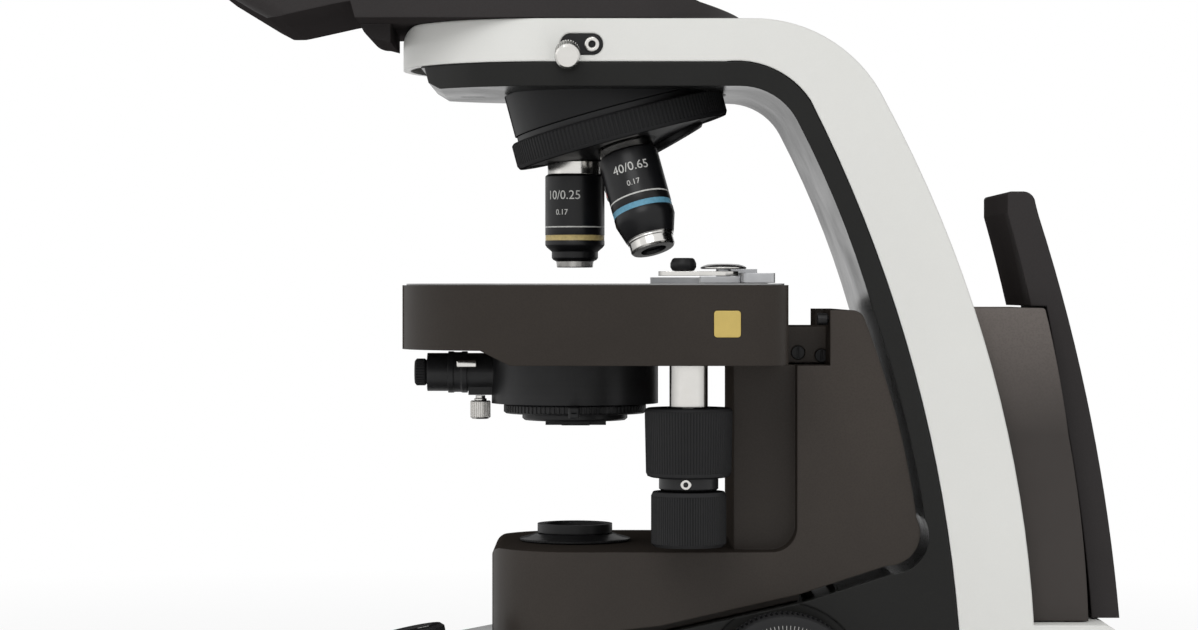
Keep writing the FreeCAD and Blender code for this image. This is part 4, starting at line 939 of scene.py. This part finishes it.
class MICROSCOPE_OT_build_focus(bpy.types.Operator):
    """Builds the ribbed coarse and fine focus knobs and the tension ring"""
    bl_idname = "microscope.build_focus"
    bl_label = "Focus knobs"

    def execute(self, context):
        size = sizes()
        right = aimed(FOCUS_AXIS, (1, 0, 0))
        coarse = bmesh.new()
        fine = bmesh.new()
        for side in (1, -1):
            knob = spun([
                (4.6, 65.6), (26.4, 65.6), (28.6, 66.2), (29.6, 67.2), (29.6, 79.4), (28.8, 80.9),
                (27, 81.9), (16.4, 81.9), (15.6, 81.2), (4.6, 81.2),
            ], size.focus_ribs * 2, closed=True)
            grooved(knob, 67.3, 79.3, size.focus_rib, 0.2 * MM)
            added(coarse, knob, aimed(FOCUS_AXIS, (side, 0, 0)))
            small = spun([
                (0, 98.3), (9, 98.3), (9.6, 98.9), (12.4, 98.9), (13.8, 97.6), (13.8, 84.2), (13, 82.6),
                (2.4, 82.5), (2.4, 82), (0, 82),
            ], size.drive_ribs * 2)
            grooved(small, 84.3, 97.5, size.drive_rib, 0.14 * MM)
            added(fine, small, aimed(FOCUS_AXIS, (side, 0, 0)))
        fine_disc = spun([(0, 99), (8.2, 99), (8.6, 98.7), (8.6, 98.2), (0, 98.2)], 64)
        added(fine, repainted(fine_disc, 1), right)
        marks = bmesh.new()
        for mark in range(100):
            tall = 2.6 if mark % 10 == 0 else 1.4
            tick = rounded_block((0.18, tall, 0.05), 0.02, 1)
            turn = Matrix.Rotation(math.radians(3.6 * mark), 4, "Z")
            added(marks, tick, right @ turn @ moved(0.0, 25.4 - tall / 2, KNOB_FACE))
        for tens in range(0, 100, 10):
            turn = Matrix.Rotation(math.radians(-3.6 * tens), 4, "Z")
            added(marks, figures(str(tens), 2.6, 0.05), right @ turn @ moved(0.0, 20.6, KNOB_FACE))
        hung(coarse, "coarse_knobs_ribbed", "coarse_focus", ["grip rubber"], None,
             ("coarse_knobs",))
        hung(marks, "focus_scale", "coarse_focus", ["ink"])
        axle = bmesh.new()
        bmesh.ops.create_cone(
            axle, cap_ends=True, segments=32, radius1=2.4 * MM, radius2=2.4 * MM, depth=196.0 * MM)
        added(fine, axle, right)
        hung(fine, "fine_knobs_ribbed", "fine_focus", ["grip rubber", "plating"],
             None, ("fine_knobs",))
        turned("tension_ring_ribbed", "tension_ring", ["black plastic"], [
            (9.05, 59.2), (23.2, 59.2), (24, 59.9), (24, 64.4), (23.2, 65.1), (9.05, 65.1),
        ], 144, right, ("tension_ring",), closed=True, ribs=(60.0, 64.3, 0.5 * MM, 0.12 * MM))
        return {"FINISHED"}


class MICROSCOPE_OT_build_light_exit(bpy.types.Operator):
    """Builds the field lens over the lamp and the knurled field ring round it"""
    bl_idname = "microscope.build_light_exit"
    bl_label = "Light exit"

    def execute(self, context):
        turned("field_ring_knurled", "field_ring", ["blackened"], [
            (14.1, 104.35), (22.6, 104.35), (22.9, 104.6), (22.9, 105.2), (22.3, 105.5), (20.4, 105.9),
            (18.2, 106.5), (16.6, 107.2), (15.9, 107.35), (14.6, 107.35), (14.1, 106.9),
        ], 180, replaces=("field_ring",), closed=True, ribs=(104.65, 105.15, 0.2 * MM, 0.04 * MM))
        turned("field_lens_glass", "stand", ["clear glass"], [
            (0, 109.1), (4, 108.95), (8, 108.5), (12.4, 107.5), (12.4, 105.6), (0, 105.6),
        ], 72, replaces=("field_lens",))
        return {"FINISHED"}


class MICROSCOPE_OT_build_head(bpy.types.Operator):
    """Builds the eyepieces, eyecups, diopter ring, head clamp and the screw of the side slot"""
    bl_idname = "microscope.build_head"
    bl_label = "Head fittings"

    def execute(self, context):
        size = sizes()
        for side, name, lift in ((-1, "left", 5.5), (1, "right", 0.0)):
            place = aimed(tube_end(side), EYE_AXIS)
            turned(name + "_eyepiece_barrel", name + "_eye", ["black plastic", "plating"], [
                (14.9, -19.9), (14.9, lift + 0.1), (18.8, lift + 0.1), (19.4, lift + 0.6), (19.4, 7),
                (19, 7.4), (19, 9), (19.4, 9.4), (19.4, 16.6), (18.8, 17.6), (16, 21.8), (16, 26.9),
                (11.2, 26.9), (10.4, 26.2), (10, 24), (10, -19.9),
            ], 96, place, (name + "_eyepiece",), closed=True,
                second=lambda radius, height: 7.2 < height < 9.2 and radius > 18.0, edge=0.25 * MM)
            turned(name + "_eye_lens", name + "_eye", ["clear glass"], [
                (0, 25.2), (5, 24.9), (9.9, 24), (9.9, 22), (0, 22),
            ], 64, place)
            turned(name + "_eye_field_lens", name + "_eye", ["clear glass"], [
                (0, 6), (9.95, 6), (9.95, 5), (0, 5),
            ], 48, place)
            turned(name + "_eyecup_rubber", name + "_eye", ["grip rubber"], [
                (16.1, 22.4), (19.6, 21.2), (20.4, 22), (20.5, 26), (19.6, 29.5), (18.9, 32.2),
                (18.2, 32.9), (17.4, 32.7), (17.3, 31.6), (17.7, 27.6), (13.4, 27.4), (13.1, 27.1),
                (16.1, 27),
            ], 96, place, (name + "_eyecup",), closed=True, edge=0.25 * MM)
        turned("diopter_ring_ribbed", "diopter_ring", ["black plastic"], [
            (15.1, 0.4), (18.4, 0.4), (19.2, 0.9), (19.2, 4.7), (18.6, 5.1), (15.1, 5.1),
        ], 144, aimed(tube_end(-1), EYE_AXIS), ("diopter_ring",), closed=True,
            ribs=(1.0, 4.6, 0.45 * MM, 0.1 * MM))
        way = Vector((math.sin(CLAMP_TILT), 0.0, math.cos(CLAMP_TILT)))
        turned("head_clamp_knurled", "head_clamp", ["plating"], [
            (0, 11.4), (4.1, 11.4), (5, 10.6), (5, 2), (4.3, 1.2), (1.5, 1), (1.5, -0.9), (0, -0.9),
        ], size.screw_knurls * 2, aimed(Vector((61.7, -2.4, 302.4)) * MM, way), ("head_clamp",),
            ribs=(2.1, 10.5, 0.3 * MM, 0.05 * MM))
        turned("slot_socket_screw", "stand", ["plating", "black plastic"], [
            (0, -0.6), (1.3, -0.6), (1.35, 0.1), (1.6, 0.35), (2.5, 0.35), (2.9, 0.05), (2.9, -0.9),
            (0, -0.9),
        ], 48, aimed(Vector((60.55, 7.2, 305.3)) * MM, (1, 0, 0)),
            second=lambda radius, height: radius < 1.32)
        return {"FINISHED"}


class MICROSCOPE_OT_build_controls(bpy.types.Operator):
    """Builds the brightness dial, the stage stop and the marks on the power switch"""
    bl_idname = "microscope.build_controls"
    bl_label = "Controls"

    def execute(self, context):
        place = moved(42.0, -65.0, 62.9) @ Matrix.Rotation(DIAL_TILT, 4, "X")
        turned("brightness_dial_ribbed", "brightness_dial", ["grip rubber"], [
            (0, 8.6), (9.6, 8.6), (10.4, 9), (13.4, 8.9), (14.8, 7.6), (14.8, 1.6), (14, 0.5),
            (2.5, 0.4), (2.5, -9), (0, -9),
        ], 96, place, ("brightness_dial",), ribs=(1.7, 7.5, 0.5 * MM, 0.14 * MM))
        pointer = rounded_block((0.9, 4.6, 0.06), 0.02, 1)
        hung(pointer, "dial_pointer", "brightness_dial", ["ink"],
             place @ moved(0.0, 6.4, 8.62))
        turned("stage_stop_screw", "stop_knob", ["blackened"], [
            (0, 4.4), (1, 4.4), (1.1, 3.4), (1.3, 3.4), (1.4, 4.5), (2.2, 4.5), (2.35, 4.3),
            (2.35, 0.6), (2.2, 0.4), (1.2, 0.4), (1.2, 0), (0, 0),
        ], 36, aimed(Vector((50.0, 101.6, 196.4)) * MM, (0, -1, 0)), ("stop_knob",))
        marks = bmesh.new()
        added(marks, figures("I", 4.2, 0.08), moved(-3.6, 0.0, 0.0))
        added(marks, figures("O", 4.2, 0.08), moved(3.6, 0.0, 0.0))
        back = moved(-24.0, 227.45, 34.0) @ Matrix.Rotation(math.pi, 4, "Z")
        hung(marks, "switch_marks", "power_switch", ["ink"],
             back @ Matrix.Rotation(math.radians(90), 4, "X") @ Matrix.Rotation(math.radians(90), 4, "Z"))
        return {"FINISHED"}


class MICROSCOPE_OT_set_studio(bpy.types.Operator):
    """Sets the camera at the photograph's angle, the pale floor, the white surround and the soft lamps"""
    bl_idname = "microscope.set_studio"
    bl_label = "Camera, floor and lamps"

    def execute(self, context):
        studio = context.scene.microscope_studio
        data = bpy.data.cameras.new("side_camera")
        data.sensor_width = FRAME_WIDTH
        data.lens = studio.lens
        data.shift_y = FRAME_SHIFT
        data.clip_start = 0.01
        data.clip_end = 20.0
        camera = linked("side_camera", data)
        camera.location = (studio.camera_away, CAMERA_ASIDE, studio.eye_level)
        camera.rotation_euler = (math.radians(90), 0.0, math.radians(90))
        context.scene.camera = camera
        context.scene.view_settings.view_transform = "Standard"
        self.add_floor(studio)
        self.add_room(context, studio)
        for name, (spot, target, width) in LAMPS.items():
            self.add_lamp(name + "_lamp", spot, target, width, getattr(studio, name))
        return {"FINISHED"}

    def add_lamp(self, name, spot, target, width, watts):
        """A large soft lamp that looks at a target."""
        data = bpy.data.lights.new(name, "AREA")
        data.shape = "SQUARE"
        data.size = width
        data.energy = watts
        lamp = linked(name, data)
        lamp.location = spot
        lamp.rotation_euler = (Vector(target) - Vector(spot)).to_track_quat("-Z", "Y").to_euler()

    def add_sight(self, tree):
        """One for rays the camera sees straight, in gloss or through glass, and zero for lighting rays."""
        path = add_node(tree, "ShaderNodeLightPath")
        through = path.outputs["Is Transmission Ray"]
        direct = arithmetic(tree, "MAXIMUM", path.outputs["Is Camera Ray"], through)
        return arithmetic(tree, "MAXIMUM", direct, path.outputs["Is Glossy Ray"])

    def add_room(self, context, studio):
        """Even light all round, seen as white by the camera and in gloss and glass."""
        world = bpy.data.worlds.new("white_room")
        context.scene.world = world
        world.use_nodes = True
        tree = world.node_tree
        background = tree.nodes["Background"]
        background.inputs["Color"].default_value = (1.0, 1.0, 1.0, 1.0)
        light = rescaled(tree, self.add_sight(tree), 0.0, 1.0, studio.room, 1.0)
        tree.links.new(light, background.inputs["Strength"])

    def add_floor(self, studio):
        """A pale round floor that keeps the shadow and fades to white at its rim."""
        bm = bmesh.new()
        bmesh.ops.create_circle(bm, cap_ends=True, segments=128, radius=studio.floor_half)
        mesh = bpy.data.meshes.new("floor")
        bm.to_mesh(mesh)
        bm.free()
        floor = linked("floor", mesh)
        material, tree, shader, spot = bare_material("Pale floor")
        shader.inputs["Base Color"].default_value = (0.8, 0.8, 0.8, 1.0)
        shader.inputs["Roughness"].default_value = 0.7
        away = add_node(tree, "ShaderNodeVectorMath", operation="LENGTH", inputs={0: spot})
        share = rescaled(tree, away.outputs["Value"], 0.25, studio.floor_half * 0.95, 0.55, 1.0)
        factor = arithmetic(tree, "MULTIPLY", share, self.add_sight(tree))
        white = add_node(tree, "ShaderNodeEmission", inputs={"Strength": 1.0})
        blend = add_node(tree, "ShaderNodeMixShader", inputs={0: factor})
        tree.links.new(shader.outputs[0], blend.inputs[1])
        tree.links.new(white.outputs[0], blend.inputs[2])
        tree.links.new(blend.outputs[0], tree.nodes["Material Output"].inputs["Surface"])
        mesh.materials.append(material)


OPERATORS = (
    MICROSCOPE_OT_finish_castings,
    MICROSCOPE_OT_build_nosepiece,
    MICROSCOPE_OT_build_objectives,
    MICROSCOPE_OT_build_stage_drive,
    MICROSCOPE_OT_build_holder,
    MICROSCOPE_OT_build_condenser,
    MICROSCOPE_OT_build_focus,
    MICROSCOPE_OT_build_light_exit,
    MICROSCOPE_OT_build_head,
    MICROSCOPE_OT_build_controls,
    MICROSCOPE_OT_set_studio,
)


class MICROSCOPE_PT_sidebar(bpy.types.Panel):
    """Lists the steps that dress the microscope, its sizes, its colours and the studio"""
    bl_idname = "MICROSCOPE_PT_sidebar"
    bl_label = "Upright microscope"
    bl_space_type = "VIEW_3D"
    bl_region_type = "UI"
    bl_category = "Microscope"

    def draw(self, context):
        layout = self.layout
        steps = layout.column(align=True)
        for operator in OPERATORS:
            steps.operator(operator.bl_idname)
        scene = context.scene
        for title, group in (
            ("Sizes", scene.microscope_sizes),
            ("Colours", scene.microscope_colours),
            ("Studio", scene.microscope_studio),
        ):
            box = layout.box()
            box.label(text=title)
            for key in group.__annotations__:
                box.prop(group, key)


CLASSES = (MicroscopeColours, MicroscopeSizes, MicroscopeStudio, *OPERATORS, MICROSCOPE_PT_sidebar)


def register():
    for one in CLASSES:
        bpy.utils.register_class(one)
    bpy.types.Scene.microscope_colours = PointerProperty(type=MicroscopeColours)
    bpy.types.Scene.microscope_sizes = PointerProperty(type=MicroscopeSizes)
    bpy.types.Scene.microscope_studio = PointerProperty(type=MicroscopeStudio)


def unregister():
    del bpy.types.Scene.microscope_studio
    del bpy.types.Scene.microscope_sizes
    del bpy.types.Scene.microscope_colours
    for one in reversed(CLASSES):
        bpy.utils.unregister_class(one)


def main():
    """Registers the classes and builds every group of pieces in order."""
    register()
    bpy.ops.microscope.finish_castings()
    bpy.ops.microscope.build_nosepiece()
    bpy.ops.microscope.build_objectives()
    bpy.ops.microscope.build_stage_drive()
    bpy.ops.microscope.build_holder()
    bpy.ops.microscope.build_condenser()
    bpy.ops.microscope.build_focus()
    bpy.ops.microscope.build_light_exit()
    bpy.ops.microscope.build_head()
    bpy.ops.microscope.build_controls()
    bpy.ops.microscope.set_studio()


if __name__ == "__main__":
    main()
